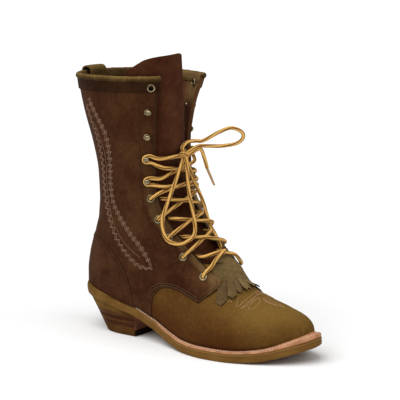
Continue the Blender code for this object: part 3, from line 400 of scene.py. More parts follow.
# The product of a rising S curve and a falling one.
def between(tree, value, rising, falling):
    return times(tree, band(tree, value, *rising), band(tree, value, *falling))


# A colour written as red, green and blue, or the socket that gives one.
def tint(value):
    return value if isinstance(value, bpy.types.NodeSocket) else (*value, 1.0)


def mixColour(tree, share, first, second, blend="MIX"):
    inputs = {0: share, 6: tint(first), 7: tint(second)}
    return addNode(tree, "ShaderNodeMix", inputs, data_type="RGBA", blend_type=blend).outputs[2]


def attribute(tree, name, output="Fac"):
    return addNode(tree, "ShaderNodeAttribute", attribute_name=name).outputs[output]


def objectPlace(tree):
    return addNode(tree, "ShaderNodeTexCoord").outputs["Object"]


def separate(tree, vector):
    return addNode(tree, "ShaderNodeSeparateXYZ", {0: vector}).outputs


def noise(tree, place, scale, detail, roughness=0.5):
    inputs = {"Vector": place, "Scale": scale, "Detail": detail, "Roughness": roughness}
    return addNode(tree, "ShaderNodeTexNoise", inputs).outputs[0]


# New material, its nodes and its shader, with plain socket values set by name.
def newMaterial(name, settings):
    material = bpy.data.materials.new(name)
    material.use_nodes = True
    shader = material.node_tree.nodes["Principled BSDF"]
    for key, value in settings.items():
        shader.inputs[key].default_value = value
    return material, material.node_tree, shader


# Colour, and where given roughness and bump, led to a shader.
def dress(tree, shader, base, rough=None, height=None, strength=0.3, depth=0.0006):
    tree.links.new(base, shader.inputs["Base Color"])
    if rough:
        tree.links.new(rough, shader.inputs["Roughness"])
    if height:
        made = addNode(tree, "ShaderNodeBump", {"Height": height, "Strength": strength, "Distance": depth})
        tree.links.new(made.outputs[0], shader.inputs["Normal"])


# Oiled leather: broad cloudy patches between two colours, small scuffs, and a fine pebbled grain.
def leatherGroup():
    group = bpy.data.node_groups.new("oiledLeather", "ShaderNodeTree")
    sockets = {"INPUT": ("Dark", "Light", "Tone", "Patch", "Fine"),
               "OUTPUT": ("Colour", "Roughness", "Height")}
    for way, names in sockets.items():
        for name in names:
            kind = "NodeSocketColor" if name in ("Dark", "Light", "Colour") else "NodeSocketFloat"
            group.interface.new_socket(name, in_out=way, socket_type=kind)
    given = group.nodes.new("NodeGroupInput").outputs
    wanted = group.nodes.new("NodeGroupOutput").inputs
    place = objectPlace(group)
    cloud = maths(group, "SUBTRACT", noise(group, place, 26.0, 5.0, 0.62), 0.5)
    fine = noise(group, place, 210.0, 4.0, 0.7)
    pebble = addNode(group, "ShaderNodeTexVoronoi", {"Vector": place, "Scale": 620.0}).outputs["Distance"]
    shifted = maths(group, "MULTIPLY_ADD", cloud, given["Patch"], given["Tone"])
    speckled = maths(group, "MULTIPLY_ADD", maths(group, "SUBTRACT", fine, 0.5), given["Fine"], shifted)
    mixed = mixColour(group, band(group, speckled, 0.0, 1.0), given["Dark"], given["Light"])
    creaseDark = maths(group, "MULTIPLY_ADD", pebble, 0.35, 0.86)
    found = {
        "Colour": mixColour(group, 1.0, mixed, creaseDark, "MULTIPLY"),
        "Roughness": maths(group, "MULTIPLY_ADD", fine, 0.3, 0.5),
        "Height": maths(group, "MULTIPLY_ADD", fine, 0.8, times(group, pebble, 0.5)),
    }
    for key, value in found.items():
        group.links.new(value, wanted[key])
    return group


leather = leatherGroup()
# Oiled nap: hardly any white shine
oiledSheen = {"Specular IOR Level": 0.035, "Specular Tint": tint((1.0, 0.60, 0.30))}


def useLeather(tree, dark, light, tone, patch, fine=0.7):
    inputs = {"Dark": tint(dark), "Light": tint(light), "Tone": tone, "Patch": patch, "Fine": fine}
    return addNode(tree, "ShaderNodeGroup", inputs, node_tree=leather).outputs


# Leathers over each other, as mask, dark, light, tone and patchiness: the first is the ground, with no mask,
# and each later one shows where its mask's attribute says. A tone may be an attribute too.
def layeredLeather(name, layers, grain=0.22):
    material, tree, shader = newMaterial(name, oiledSheen)
    for mask, dark, light, tone, patch in layers:
        found = useLeather(tree, dark, light, attribute(tree, tone) if isinstance(tone, str) else tone, patch)
        base = mixColour(tree, attribute(tree, mask), base, found["Colour"]) if mask else found["Colour"]
    dress(tree, shader, base, found["Roughness"], found["Height"], grain)
    return material


def plainLeather(name, dark, light, tone=0.5, patch=1.2, grain=0.22):
    return layeredLeather(name, [(None, dark, light, tone, patch)], grain)


# The upper's leather: vamp and quarter colours parted by the seams, dark stitched lines, and lighter edges,
# rubbed and with a painted highlight.
def upperMaterial():
    material, tree, shader = newMaterial("upperLeather", oiledSheen)
    quarterEdge, counterEdge, tone, shade, strip = [
        attribute(tree, name) for name in ("quarterEdge", "counterEdge", "tone", "shade", "strip")]
    quarter = useLeather(tree, (.034, .0102, .0046), (.077, .0325, .0125), tone, 1.5, 0.8)
    olive = useLeather(tree, (.072, .036, .0145), (.130, .074, .0285), tone, 1.3)
    vamp = useLeather(tree, (.064, .0205, .0047), (.170, .095, .0215), tone, 0.45, 0.35)
    base = mixColour(tree, strip, quarter["Colour"], olive["Colour"])
    base = mixColour(tree, band(tree, quarterEdge, -0.2, 0.3), base, vamp["Colour"])
    # Painted shade: darker just above the welt, where the upper meets it.
    base = mixColour(tree, shade, base, (.036, .0115, .005))
    for edge in (quarterEdge, counterEdge):
        # Lighter band inside each raised edge: partly rubbed wear, partly a painted highlight of the rounded
        # edge.
        rubbedAndHighlit = between(tree, edge, (-1.7, -0.5), (0.1, -0.3))
        base = mixColour(tree, times(tree, rubbedAndHighlit, 0.3), base, (.115, .062, .024))
        groove = between(tree, edge, (-0.25, 0.15), (1.2, 0.5))
        base = mixColour(tree, times(tree, groove, 0.8), base, (.010, .004, .0025))
    dress(tree, shader, base, quarter["Roughness"], quarter["Height"], 0.22)
    return material


# Sole leather's edge, thin level strata with darker wax in them: colour, share of the light one, and height.
def strata(tree, place, dark, light, scale):
    flat = addNode(tree, "ShaderNodeMapping", {"Vector": place, "Scale": (0.06, 0.06, 1.0)}).outputs[0]
    layers = noise(tree, flat, scale, 6.0, 0.65)
    mixed = maths(tree, "MULTIPLY_ADD", noise(tree, place, 60.0, 6.0), 0.5, times(tree, layers, 0.5))
    share = band(tree, mixed, 0.3, 0.68)
    return mixColour(tree, share, dark, light), share, layers


# Strata, with a browner foot that fades upward where one is given.
def strataMaterial(name, dark, light, scale, roughness, foot=None):
    material, tree, shader = newMaterial(name, {**oiledSheen, "Roughness": roughness})
    place = objectPlace(tree)
    base, share, layers = strata(tree, place, dark, light, scale)
    if foot:
        brown = mixColour(tree, share, foot["dark"], foot["light"])
        base = mixColour(tree, band(tree, separate(tree, place)[2], foot["top"], foot["bottom"]), base, brown)
    dress(tree, shader, base, height=layers)
    return material


# Outsole: tan strata, with a reddish groove and a pale line below the welt.
def soleMaterial():
    material, tree, shader = newMaterial("soleLeather", {**oiledSheen, "Roughness": 0.5})
    level = attribute(tree, "level")
    base, _, layers = strata(tree, objectPlace(tree), (.122, .057, .013), (.190, .098, .0245), 420.0)
    pale = between(tree, level, (7.0, 7.6), (8.6, 8.2))
    base = mixColour(tree, times(tree, pale, 0.45), base, (.30, .175, .062))
    red = between(tree, level, (5.6, 6.2), (7.3, 6.9))
    base = mixColour(tree, times(tree, red, 0.25), base, (.120, .040, .012))
    dress(tree, shader, base, height=layers)
    return material


# Welt: tan at the waist, turning pinkish toward the toe.
def weltMaterial():
    material, tree, shader = newMaterial("weltLeather", {**oiledSheen, "Roughness": 0.55})
    place = objectPlace(tree)
    stain = noise(tree, place, 90.0, 6.0)
    share = band(tree, stain, 0.3, 0.7)
    tan = mixColour(tree, share, (.150, .068, .020), (.270, .142, .050))
    pink = mixColour(tree, share, (.340, .145, .068), (.540, .265, .138))
    forward = band(tree, separate(tree, place)[0], 0.02, 0.10)
    dress(tree, shader, mixColour(tree, forward, tan, pink), height=stain)
    return material


# Heel breast: dark brown facing, nearly black along the foot.
def breastMaterial():
    material, tree, shader = newMaterial("heelBreast", {**oiledSheen, "Roughness": 0.6})
    place = objectPlace(tree)
    stain = noise(tree, place, 110.0, 6.0)
    brown = mixColour(tree, band(tree, stain, 0.3, 0.7), (.130, .048, .026), (.250, .105, .060))
    foot = band(tree, separate(tree, place)[2], 0.0085, 0.0065)
    dress(tree, shader, mixColour(tree, foot, brown, (.012, .006, .004)), height=stain)
    return material


# Braided lace: fine crossed braid, with three reddish brown lines that wind slowly round it.
def laceMaterial():
    material, tree, shader = newMaterial("laceCord", {"Roughness": 0.72, "Specular IOR Level": 0.2})
    wrap = separate(tree, attribute(tree, "wrap", "Vector"))
    angle = maths(tree, "DIVIDE", maths(tree, "ARCTAN2", wrap[1], wrap[0]), 2 * math.pi)
    waves = []
    for turns in (4.0, -4.0):
        strand = maths(tree, "MULTIPLY_ADD", wrap[2], 0.62, times(tree, angle, turns))
        waves.append(maths(tree, "SINE", times(tree, strand, 2 * math.pi)))
    weave = maths(tree, "MAXIMUM", *waves)
    stripe = maths(tree, "FRACT", maths(tree, "MULTIPLY_ADD", wrap[2], 0.03, times(tree, angle, 3.0)))
    middle = maths(tree, "ABSOLUTE", maths(tree, "SUBTRACT", stripe, 0.5))
    line = times(tree, band(tree, middle, 0.22, 0.13), band(tree, weave, -0.9, 0.1))
    # Painted light: lighter on the crowns of the braid's strands and darker down between them.
    base = mixColour(tree, band(tree, weave, -0.4, 1.0), (.43, .195, .030), (.88, .535, .150))
    base = mixColour(tree, times(tree, line, 0.92), base, (.105, .028, .006))
    dress(tree, shader, base, height=weave, strength=0.5, depth=0.0004)
    return material


# Lace tip: wound thread under a glossy coat.
def tipMaterial():
    material, tree, shader = newMaterial("laceTip", {"Roughness": 0.35, "Coat Weight": 0.3})
    along = separate(tree, attribute(tree, "wrap", "Vector"))[2]
    turns = maths(tree, "SINE", times(tree, along, 5.2))
    base = mixColour(tree, band(tree, turns, -1, 1), (.30, .16, .05), (.46, .27, .09))
    dress(tree, shader, base, height=turns, depth=0.0003)
    return material


# Thread: a twisted pair of strands, seen as slanting ridges.
def threadMaterial(name, dark, light):
    material, tree, shader = newMaterial(name, {"Roughness": 0.7, "Specular IOR Level": 0.15})
    inputs = {"Vector": objectPlace(tree), "Scale": 900.0, "Distortion": 1.5}
    twist = addNode(tree, "ShaderNodeTexWave", inputs).outputs[1]
    dress(tree, shader, mixColour(tree, twist, dark, light), height=twist, strength=0.4, depth=0.0003)
    return material


# Nickel plate, worn golden in places.
def nickelMaterial():
    material, tree, shader = newMaterial("nickelPlate", {"Metallic": 1.0})
    wear = noise(tree, objectPlace(tree), 150.0, 3.0)
    base = mixColour(tree, band(tree, wear, 0.35, 0.7), (.19, .150, .075), (.42, .350, .210))
    dress(tree, shader, base, maths(tree, "MULTIPLY_ADD", wear, 0.15, 0.18))
    return material


rawLeather = ("raw", (.200, .130, .070), (.380, .280, .170), 0.5, 1.6)
# Lining: dark inside the shaft, olive on the turned-out face of the left flap, pale along its raw edge
liningLayers = [
    (None, (.100, .030, .017), (.185, .068, .036), 0.5, 1.3),
    ("flap", (.115, .058, .021), (.215, .130, .052), 0.5, 1.3),
    ("deep", (.026, .0095, .0055), (.066, .026, .0135), 0.5, 1.3), rawLeather,
]
# Collar band: dark outside, tan inside
collarLayers = [
    (None, (.015, .0055, .0028), (.042, .018, .0078), 0.4, 1.5),
    ("inside", (.115, .062, .023), (.215, .134, .054), 0.5, 1.3),
]
# Cut edges of the flaps: dark and waxed, brown at the top of the left one, raw and pale lower down it
edgeLayers = [
    (None, (.020, .008, .004), (.055, .025, .011), 0.4, 1.6),
    ("brown", (.066, .028, .0115), (.140, .064, .027), 0.5, 1.6), rawLeather,
]
# Wedge: brown foot, and the heights in metres between which it fades
wedgeFoot = {"dark": (.056, .021, .0068), "light": (.098, .041, .0130), "bottom": 0.0225, "top": 0.0315}
looks = {
    "upper": upperMaterial(),
    "tongue": plainLeather("tongueLeather", (.040, .0112, .0052), (.082, .030, .0135), "tone", 1.5),
    "tongueEdge": plainLeather("tongueEdge", (.060, .036, .016), (.125, .082, .036)),
    "lining": layeredLeather("liningLeather", liningLayers, 0.3),
    "kiltie": plainLeather("kiltieLeather", (.082, .051, .0215), (.220, .150, .060), "tone", 0.9),
    "kiltieEdge": plainLeather("kiltieEdge", (.018, .010, .006), (.040, .024, .012)),
    "collar": layeredLeather("collarLeather", collarLayers),
    "rim": plainLeather("rimLeather", (.040, .021, .0070), (.165, .102, .031), "tone", 1.1),
    "edge": layeredLeather("flapEdge", edgeLayers, 0.4),
    "welt": weltMaterial(),
    "sole": soleMaterial(),
    "heel": strataMaterial("heelLeather", (.098, .046, .009), (.185, .100, .023), 420, 0.48, wedgeFoot),
    "heelDark": strataMaterial("heelDark", (.034, .0105, .0042), (.066, .0215, .0082), 420, 0.5),
    "heelLight": strataMaterial("heelLight", (.058, .0205, .0072), (.104, .041, .0135), 420, 0.5),
    "breast": breastMaterial(),
    "rubber": strataMaterial("heelRubber", (.060, .0235, .0065), (.106, .046, .0135), 90, 0.7),
    "insole": plainLeather("insoleLeather", (.26, .165, .085), (.37, .245, .135), grain=0.3),
    "nickel": nickelMaterial(),
    "lace": laceMaterial(),
    "tip": tipMaterial(),
    "darkThread": threadMaterial("darkThread", (.010, .004, .002), (.030, .013, .007)),
    "oliveThread": threadMaterial("oliveThread", (.085, .052, .024), (.150, .098, .050)),
    "pinkThread": threadMaterial("pinkThread", (.190, .110, .065), (.310, .190, .120)),
    "paleThread": threadMaterial("paleThread", (.36, .200, .095), (.56, .350, .190)),
    "whiteThread": threadMaterial("whiteThread", (.55, .45, .36), (.80, .70, .60)),
}
print("stage: materials")


# Lace: holes up the throat, lowest first, with row, reach and kind
laceHoles = [
    (.610, 29.0, "eyelet"), (.486, 30.0, "eyelet"), (.414, 31.5, "eyelet"), (.354, 33.5, "eyelet"),
    (.293, 35.0, "eyelet"), (.247, 36.0, "hook"), (.193, 36.7, "hook"), (.140, 36.7, "hook"),
    (.079, 37.0, "hook"), (.022, 36.5, "eyelet"),
]
laceRadius = 2.05
tongueTable = table("row right left sink room", [
    (-0.055, 50.5, 1, -3, 3.6), (0, 50.5, 2.5, -3.5, 3.6), (0.03, 49.5, 3.5, -4.5, 3.4),
    (0.06, 48, 4.5, -6, 1.8), (0.15, 41, 8, -5, 1.8), (0.22, 40, 14, 5, 1.8), (0.28, 38.5, 26, 13, 1.8),
    (0.4, 35, 35, 16, 1.8), (0.47, 32.5, 32.5, 14, 1.8), (0.53, 28, 28, 4, 1.8), (0.56, 25, 25, 0, 1.8),
    (0.585, 22, 22, 0, 1.8),
])
tongueTop = table("across height", [
    (-1, 298), (-0.83, 304.5), (-0.69, 308.3), (-0.4, 311), (0.18, 313), (0.57, 314), (0.85, 314.5), (1, 313),
])


# Depth of the tongue's face below the last: it sinks between the flaps by a parabola.
def tongueDepth(rows, reaches):
    opening = throatHalf(np.clip(rows, 0, 0.5)) - 1
    window = np.maximum(1 - (reaches / opening) ** 2, 0)
    sink = smooth(rows, tongueTable["row"], tongueTable["sink"]) * window
    return wall + smooth(rows, tongueTable["row"], tongueTable["room"]) + sink


# Places on a straight way across the throat, moved out where the tongue or kiltie is in the way.
def acrossThroat(start, end, rows, reaches, lowest, rise):
    share = np.array([0.3, 0.5, 0.7])
    row = rows[0] + (rows[1] - rows[0]) * share
    reach = reaches[0] + (reaches[1] - reaches[0]) * share
    here, normal = frontPoints(row, reach, False)
    straight = start + (end - start) * share[:, None]
    floor = 2.8 - tongueDepth(row, reach) if lowest is None else np.full(3, lowest)
    need = np.maximum(floor - ((straight - here) * normal).sum(1), 0) + rise * np.array([0.5, 1, 0.5])
    return straight + normal * need[:, None]


# One half of the lace: out of an eyelet, over the flap's edge, across and under the other flap to the next
# eyelet; then round two hooks, and in to the knot.
def laceHalf(side, knot):
    route = []
    rise = 2.4 if side == right else -0.6
    for number in range(7):
        row, reach, kind = laceHoles[number]
        nextRow, nextReach, nextKind = laceHoles[number + 1]
        if kind == "hook":
            route += hookWrap(row, side * reach)
        else:
            route += [lifted(row, side * reach, -2.0), lifted(row, side * reach, 2.2)]
        if number == 6:
            break
        way = nextRow - row
        early = 0.08 if number == 0 and side == left else 0.3
        rows = (row + early * way, row + (0.6 if nextKind == "hook" else 0.9) * way)
        edge = flapReach(rows[0], side)
        farEdge = flapReach(rows[1], -side)
        reaches = (side * (edge - 2), -side * (farEdge - 5))
        start = lifted(rows[0], reaches[0], 4.2)
        end = lifted(rows[1], reaches[1], 4.4 if nextKind == "hook" else 0.0)
        if kind == "hook":
            start = lifted(row + 0.1 * way, side * (reach - 8), 4.6)
        else:
            route.append(lifted(row + 0.45 * early * way, side * (0.45 * reach + 0.55 * edge), 4.6))
        route += [start, *acrossThroat(start, end, rows, reaches, 4.5 if number == 0 else None, rise), end]
        if nextKind == "eyelet":
            route.append(lifted(row + 0.97 * way, -side * (farEdge + 1), -4.2))
            route.append(lifted(nextRow, -side * nextReach, -5.5))
        side = -side
    route.append(lifted(row, side * (reach - 9), 4.8))
    route.append(knot + np.array((-3.5, side * 3.5, 0)))
    return np.array(route)


# Places round the outer side of a hook's neck, under its cap.
def hookWrap(row, reach):
    here, across, up, out = hookFrame(row, reach)
    turns = [(-5.5, -3.6), (-1.5, -3.4), (1.2, -2.2), (1.9, 0), (1.2, 2.2), (-1.5, 3.4), (-5.5, 3.6)]
    return [here + across * x + up * y + out * 2.5 for x, y in turns]


# Seat of a hook or eyelet: its place, the way from the throat, the way up and the way out.
def hookFrame(row, reach, lift=2.0):
    here, normal = frontPoints(row, reach)
    further, _ = frontPoints(row, reach + math.copysign(1.0, reach))
    across = further - here
    across = unit(across - normal * (across @ normal))
    up = np.cross(normal, across)
    if up[2] < 0:
        up = -up
    return here + normal * lift, across, up, normal


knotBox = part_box("lace_knot")
knotCentre = (np.array(knotBox[0]) + np.array(knotBox[1])) / 2 / mm + (heelMiddle, 0, 0)
knotSize = np.array((4.2, 5.5, 5.0))
# How far from the knot's face a cord starts inside it, and has its next point outside
inKnot, offKnot = -3.8, 0.9
bowCords = {
    "laceLoopHanging": {
        "node": "lace_loop_hanging", "leave": (.20, -.62, -.76), "arrive": (.70, -.16, -.70), "points": [
            (134, -26, 169.5), (132, -39, 143.5), (135, -43, 128), (142, -42, 117.8), (154.8, -38, 116),
            (159, -23, 121), (155, -13, 129), (150, -10, 145.5), (143, -8, 168.5)]},
    "laceLoopSide": {
        "node": "lace_loop_side", "leave": (-.10, -.25, .96), "arrive": (.45, .55, .70), "points": [
            (130.5, -2.5, 213.5), (132.5, 3.5, 218.4), (138.7, 9, 219.6), (146, 14.5, 220), (158, 28, 229),
            (168, 36, 233), (177, 42, 229), (179, 42, 222.5), (174, 36, 216.5), (160, 26, 213.8),
            (147, 16, 214), (141, 10.5, 213.4)]},
    "laceEndShort": {
        "node": "lace_end_short", "leave": (.93, .05, .36), "arrive": None, "tip": "lace_tip_short",
        "tipFrom": (152.5, 12.7, 190.0), "tipWay": (7.6, 2.4, -17.5), "points": [
            (138.5, .6, 206.2), (146, 8.3, 211.5), (149.8, 10.8, 202), (152.3, 12.6, 190.8)]},
    "laceEndLong": {
        "node": "lace_end_long", "leave": (.25, .42, -.87), "arrive": None, "tip": "lace_tip_long",
        "tipFrom": (172.5, 12.1, 103.9), "tipWay": (6.1, -1.9, -8.3), "points": [
            (136, 9, 178.5), (138, 17, 163), (141.4, 20.6, 150.6), (146.4, 19.9, 138.1),
            (152.4, 18.1, 127.3), (159.6, 15.8, 120.1), (167.6, 12.4, 112.9), (172, 12.2, 104.7)]},
}


# Where a cord meets the knot: on its ellipsoid, or beyond it by the given way.
def fromKnot(direction, beyond):
    direction = np.array(direction)
    return knotCentre + direction * (1 / np.linalg.norm(direction / knotSize) + beyond)


# Tip of an end: a straight sleeve that narrows by the cube of the way along it.
def makeTip(name, cord):
    path = np.array(cord["tipFrom"]) + np.linspace(-0.1, 1, 24)[:, None] * np.array(cord["tipWay"])
    points, faces, values = tube(path, 1.5 - 0.35 * np.linspace(0, 1, 24) ** 3)
    return makePiece(name, points, faces, looks["tip"], "lace_tip", [cord["tip"]], values)


def makeBow():
    for name, cord in bowCords.items():
        route = [fromKnot(cord["leave"], inKnot), fromKnot(cord["leave"], offKnot), *cord["points"]]
        if cord["arrive"]:
            route += [fromKnot(cord["arrive"], offKnot), fromKnot(cord["arrive"], inKnot)]
        path = through(route, 16 * len(route))
        points, faces, values = tube(path, laceRadius)
        piece = makePiece(name, points, faces, looks["lace"], "lace_cord", [cord["node"]], values)
        pieces = [] if cord["arrive"] else [makeTip(name.replace("End", "Tip"), cord)]
        print(f"cord {name}: {lengths(path)[-1]:.0f} mm")


# Knot: a small core with two turns of the lace wound round it.
def makeKnot():
    angle = np.linspace(0, 2 * np.pi, 40)
    cosine, sine, flat = np.cos(angle), np.sin(angle), np.zeros(40)
    first = np.stack([3.3 * cosine, 1.6 * sine + 0.9, 3.7 * sine], -1)
    second = np.stack([2.9 * cosine, 2.6 * sine - 1.6, 3.2 * np.cos(angle + 1.2)], -1)
    core = np.stack([flat, np.linspace(-3.6, 3.6, 40), flat], -1)
    coreRadius = 2.6 * np.sqrt(np.clip(1 - np.linspace(-0.97, 0.97, 40) ** 2, 0.02, 1))
    turns = [(first, laceRadius), (second, laceRadius), (core, coreRadius)]
    points, faces, values = joinMeshes([tube(knotCentre + path, radius) for path, radius in turns])
    makePiece("laceKnot", points, faces, looks["lace"], "lace_cord", ["lace_knot"], values)


def makeLaceRuns():
    parts = []
    for side in (right, left):
        route = laceHalf(side, knotCentre)
        parts.append(tube(through(route, 9 * len(route)), laceRadius))
    points, faces, values = joinMeshes(parts)
    nodes = [f"lace_crossing_{n}" for n in range(1, 7)] + ["lace_bar_top"]
    makePiece("laceRuns", points, faces, looks["lace"], "lace_cord", nodes, values)


makeBow()
makeKnot()
makeLaceRuns()
print("stage: lace")


# Upper: the last's surface in fine cells, raised over the quarters and the counter
seams = {
    "counter": [(-20, 109), (10, 109), (33, 107.2), (50, 100), (65, 87.6), (74, 75), (81, 59), (84.5, 43),
                (86, 30)],
    "vamp": [(110, 24), (112, 37), (113, 47), (117, 55), (124, 61.5), (133, 65), (149, 64.3), (168, 59.5),
             (181, 56.4)],
    "tab": [(181, 56.4), (193.4, 66.2), (199, 72.3), (200.6, 75.6), (199.6, 78.6), (195, 83.5), (190, 92)],
}


# Distance in side view from points to a line, the least over its straight pieces.
def lineDistance(x, z, line):
    best = np.full(x.shape, 1e9)
    for (ax, az), (bx, bz) in zip(line[:-1], line[1:]):
        dx, dz = bx - ax, bz - az
        share = np.clip(((x - ax) * dx + (z - az) * dz) / (dx * dx + dz * dz + 1e-12), 0, 1)
        best = np.minimum(best, np.hypot(x - ax - share * dx, z - az - share * dz))
    return best


# Whether points lie in an outline, by counting its edges to their right.
def insideOutline(x, z, outline):
    found = np.zeros(x.shape, bool)
    for (ax, az), (bx, bz) in zip(outline, np.roll(outline, -1, 0)):
        crosses = (az > z) != (bz > z)
        found ^= crosses & (x < (bx - ax) * (z - az) / (bz - az + 1e-12) + ax)
    return found


def signedDistance(x, z, line, outline):
    distance = lineDistance(x, z, line)
    return np.where(insideOutline(x, z, np.array(outline)), -distance, distance)


# The stitched line beside the throat in side view, x and z
eyestayLine = [(104.6, 266.6), (102.5, 222.2), (102.2, 197.2), (104.1, 159.1), (112, 135.6), (125.9, 123.8),
               (143.9, 108), (161.2, 93.6), (186.8, 75.2)]
upperLook = {
    "rows": 340, "columns": 132,
    # creases in side view: from, to, width and depth
    "creases": [
        ((96, 205), (113, 222), 2.2, 0.8), ((98, 128), (112, 138), 2.4, 0.9), ((60, 118), (84, 124), 5, 0.6),
        ((96, 112), (116, 104), 6, 0.7), ((30, 128), (52, 120), 6, 0.6), ((126, 92), (146, 84), 6, 0.5),
    ],
    # lighter and darker patches in side view: x, z, reach in x and z, amount; some are painted light, such as
    # the lighter strips down the back edge of the shaft and the counter
    "patches": [
        (6, 200, 10, 90, 0.6), (96, 150, 12, 60, 0.18), (70, 230, 25, 30, 0.05), (170, 85, 25, 18, 0.35),
        (60, 60, 30, 22, 0.12), (30, 90, 16, 14, 0.22), (255, 62, 34, 12, 0.22), (200, 45, 26, 16, -0.10),
        (152, 64, 40, 20, -0.28), (186, 84, 13, 10, 0.8), (46, 68, 7, 5, -0.35), (4, 75, 8, 30, 0.45),
    ],
}


def makeUpper():
    dense = np.linspace(0, 1, 1201)
    probe = sideGrid(dense, np.array([0.2, 0.5, 0.85]), right)
    step = np.linalg.norm(np.diff(probe, axis=0), axis=-1).mean(1)
    way = np.concatenate([[0], np.cumsum(step)])
    rows = np.interp(np.linspace(0, way[-1], upperLook["rows"]), way, dense)
    columns = np.linspace(0, 1, upperLook["columns"])
    counterLine = through(seams["counter"], 60)
    frontLine = np.vstack([through(seams["vamp"], 60), through(seams["tab"], 40)])
    quarterOutline = [*frontLine, (196, 100), (260, 330), (-60, 330), (-60, -20), (110, -20)]
    counterOutline = [*counterLine, (86, -20), (-60, -20), (-60, 109)]
    parts = []
    for side in (right, left):
        grid = sideGrid(rows, columns, side)
        normal = gridNormals(grid, rows, side)
        x, y, z = grid[..., 0], grid[..., 1], grid[..., 2]
        quarterEdge = signedDistance(x, z, frontLine, quarterOutline)
        channel = np.where((rows[:, None] > 0.5) & (x > 150), 24.5 - np.abs(y), -50)
        quarterEdge = np.maximum(quarterEdge, channel)
        counterEdge = signedDistance(x, z, counterLine, counterOutline)
        onQuarter = softStep(0.5, -0.5, quarterEdge)
        onCounter = softStep(0.5, -0.5, counterEdge)
        tabRise = softStep(186, 196, x) * softStep(52, 58, z)
        height = (quarterLift + 1.6 * tabRise) * onQuarter
        height = height + (counterLift - height) * onCounter
        for first, second, width, depth in upperLook["creases"]:
            height = height - depth * np.exp(-(lineDistance(x, z, [first, second]) / width) ** 2)
        aboveWelt = z - underside(x) - weltTop
        # Painted light and shade: the vamp darker low near the welt, and lighter higher up and over the toe's
        # top, where light falls.
        vampLightAndShade = 0.13 + 0.45 * softStep(6, 44, aboveWelt) + 0.38 * softStep(215, 265, x)
        tone = np.where(quarterEdge < 0, 0.40, vampLightAndShade)
        for px, pz, rx, rz, amount in upperLook["patches"]:
            tone = tone + amount * np.exp(-((x - px) / rx) ** 2 - ((z - pz) / rz) ** 2)
        # Painted shade: a broad darkening within 6 mm above the welt, and a darker line within about 2 mm of
        # it.
        shade = np.maximum(0.6 * softStep(6, 0.5, aboveWelt), 0.95 * softStep(2.4, 1.2, aboveWelt))
        line = np.array(eyestayLine)[::-1]
        strip = softStep(0, 7, x - np.interp(z, line[:, 1], line[:, 0])) * softStep(220, 130, z)
        values = {"quarterEdge": np.clip(quarterEdge, -9, 9), "counterEdge": np.clip(counterEdge, -9, 9),
                  "strip": strip, "tone": tone, "shade": shade}
        faces = gridFaces(*grid.shape[:2])
        skin = (grid + normal * height[..., None]).reshape(-1, 3)
        parts.append((skin, [faces if side == right else faces[:, ::-1]],
                      {key: data.ravel() for key, data in values.items()}))
    points, faces, values = joinMeshes(parts)
    return weld(points, faces, values)


# Joins points that coincide, and drops faces that this leaves without an area.
def weld(points, faces, values):
    _, first, index = np.unique(np.round(points, 3), axis=0, return_index=True, return_inverse=True)
    quads = index.ravel()[np.concatenate(faces)]
    flat = np.sort(quads, axis=1)
    whole = quads[(np.diff(flat, axis=1) > 0).all(1)]
    return points[first], whole, {key: data[first] for key, data in values.items()}


# Which points lie in the bore of an eyelet, by their distance from its axis.
def inBores(points, radius, deepest=9):
    found = np.zeros(len(points), bool)
    for row, reach, kind in laceHoles:
        for side in (right, left) if kind == "eyelet" else ():
            here, normal = frontPoints(row, side * reach)
            off = points - here
            depth = off @ normal
            aside = np.linalg.norm(off - depth[:, None] * normal, axis=1)
            found |= (aside < radius) & (np.abs(depth) < deepest)
    return found


upperPoints, upperFaces, upperValues = makeUpper()
upperTree = BVHTree.FromPolygons(upperPoints.tolist(), upperFaces.tolist())
openFaces = upperFaces[~inBores(upperPoints[upperFaces].mean(1), 2.9)]
makePiece("upperSkin", upperPoints, openFaces, looks["upper"], "shaft_leather",
          ["upper", "quarter_right", "quarter_left", "counter"], upperValues)
print("stage: upper")


# Share of raw, pale leather along the left flap's edge: only its middle rows.
def rawRows(rows):
    return softStep(0.24, 0.31, rows) * softStep(0.5, 0.44, rows)


# Lining just inside the wall, on both sides.
def makeLining():
    rows = np.linspace(0.0, 0.999, 150)
    columns = np.linspace(0, 1, 60)
    parts = []
    for side in (right, left):
        grid = sideGrid(rows, columns, side)
        points = grid - gridNormals(grid, rows, side) * wall
        faces = gridFaces(*grid.shape[:2])
        flap = (side == left) * softStep(0.30, 0.18, columns)[None, :] * softStep(0.5, 0.4, rows)[:, None]
        deep = flap * (softStep(0.045, 0.085, rows) * softStep(0.26, 0.2, rows))[:, None]
        fromEdge = np.linalg.norm(grid - grid[:, :1], axis=-1)
        raw = (side == left) * rawRows(rows)[:, None] * softStep(6.5, 4.5, fromEdge)
        parts.append((points.reshape(-1, 3), [faces[:, ::-1] if side == right else faces],
                      {"flap": flap.ravel(), "deep": deep.ravel(), "raw": raw.ravel()}))
    points, faces, values = weld(*joinMeshes(parts))
    openFaces = faces[~inBores(points[faces].mean(1), 2.6)]
    makePiece("lining", points, openFaces, looks["lining"], "shaft_leather", values=values)


# Cut edges of the two throat flaps: a rounded strip over the leather's thickness, as past the edge and out
flapProfile = np.array([
    (-1.6, 1.75), (0.1, 1.75), (0.6, 1.2), (0.75, 0), (0.7, -1.4), (0.3, -2.3), (-1.6, -2.45), (-1.6, -0.5),
])


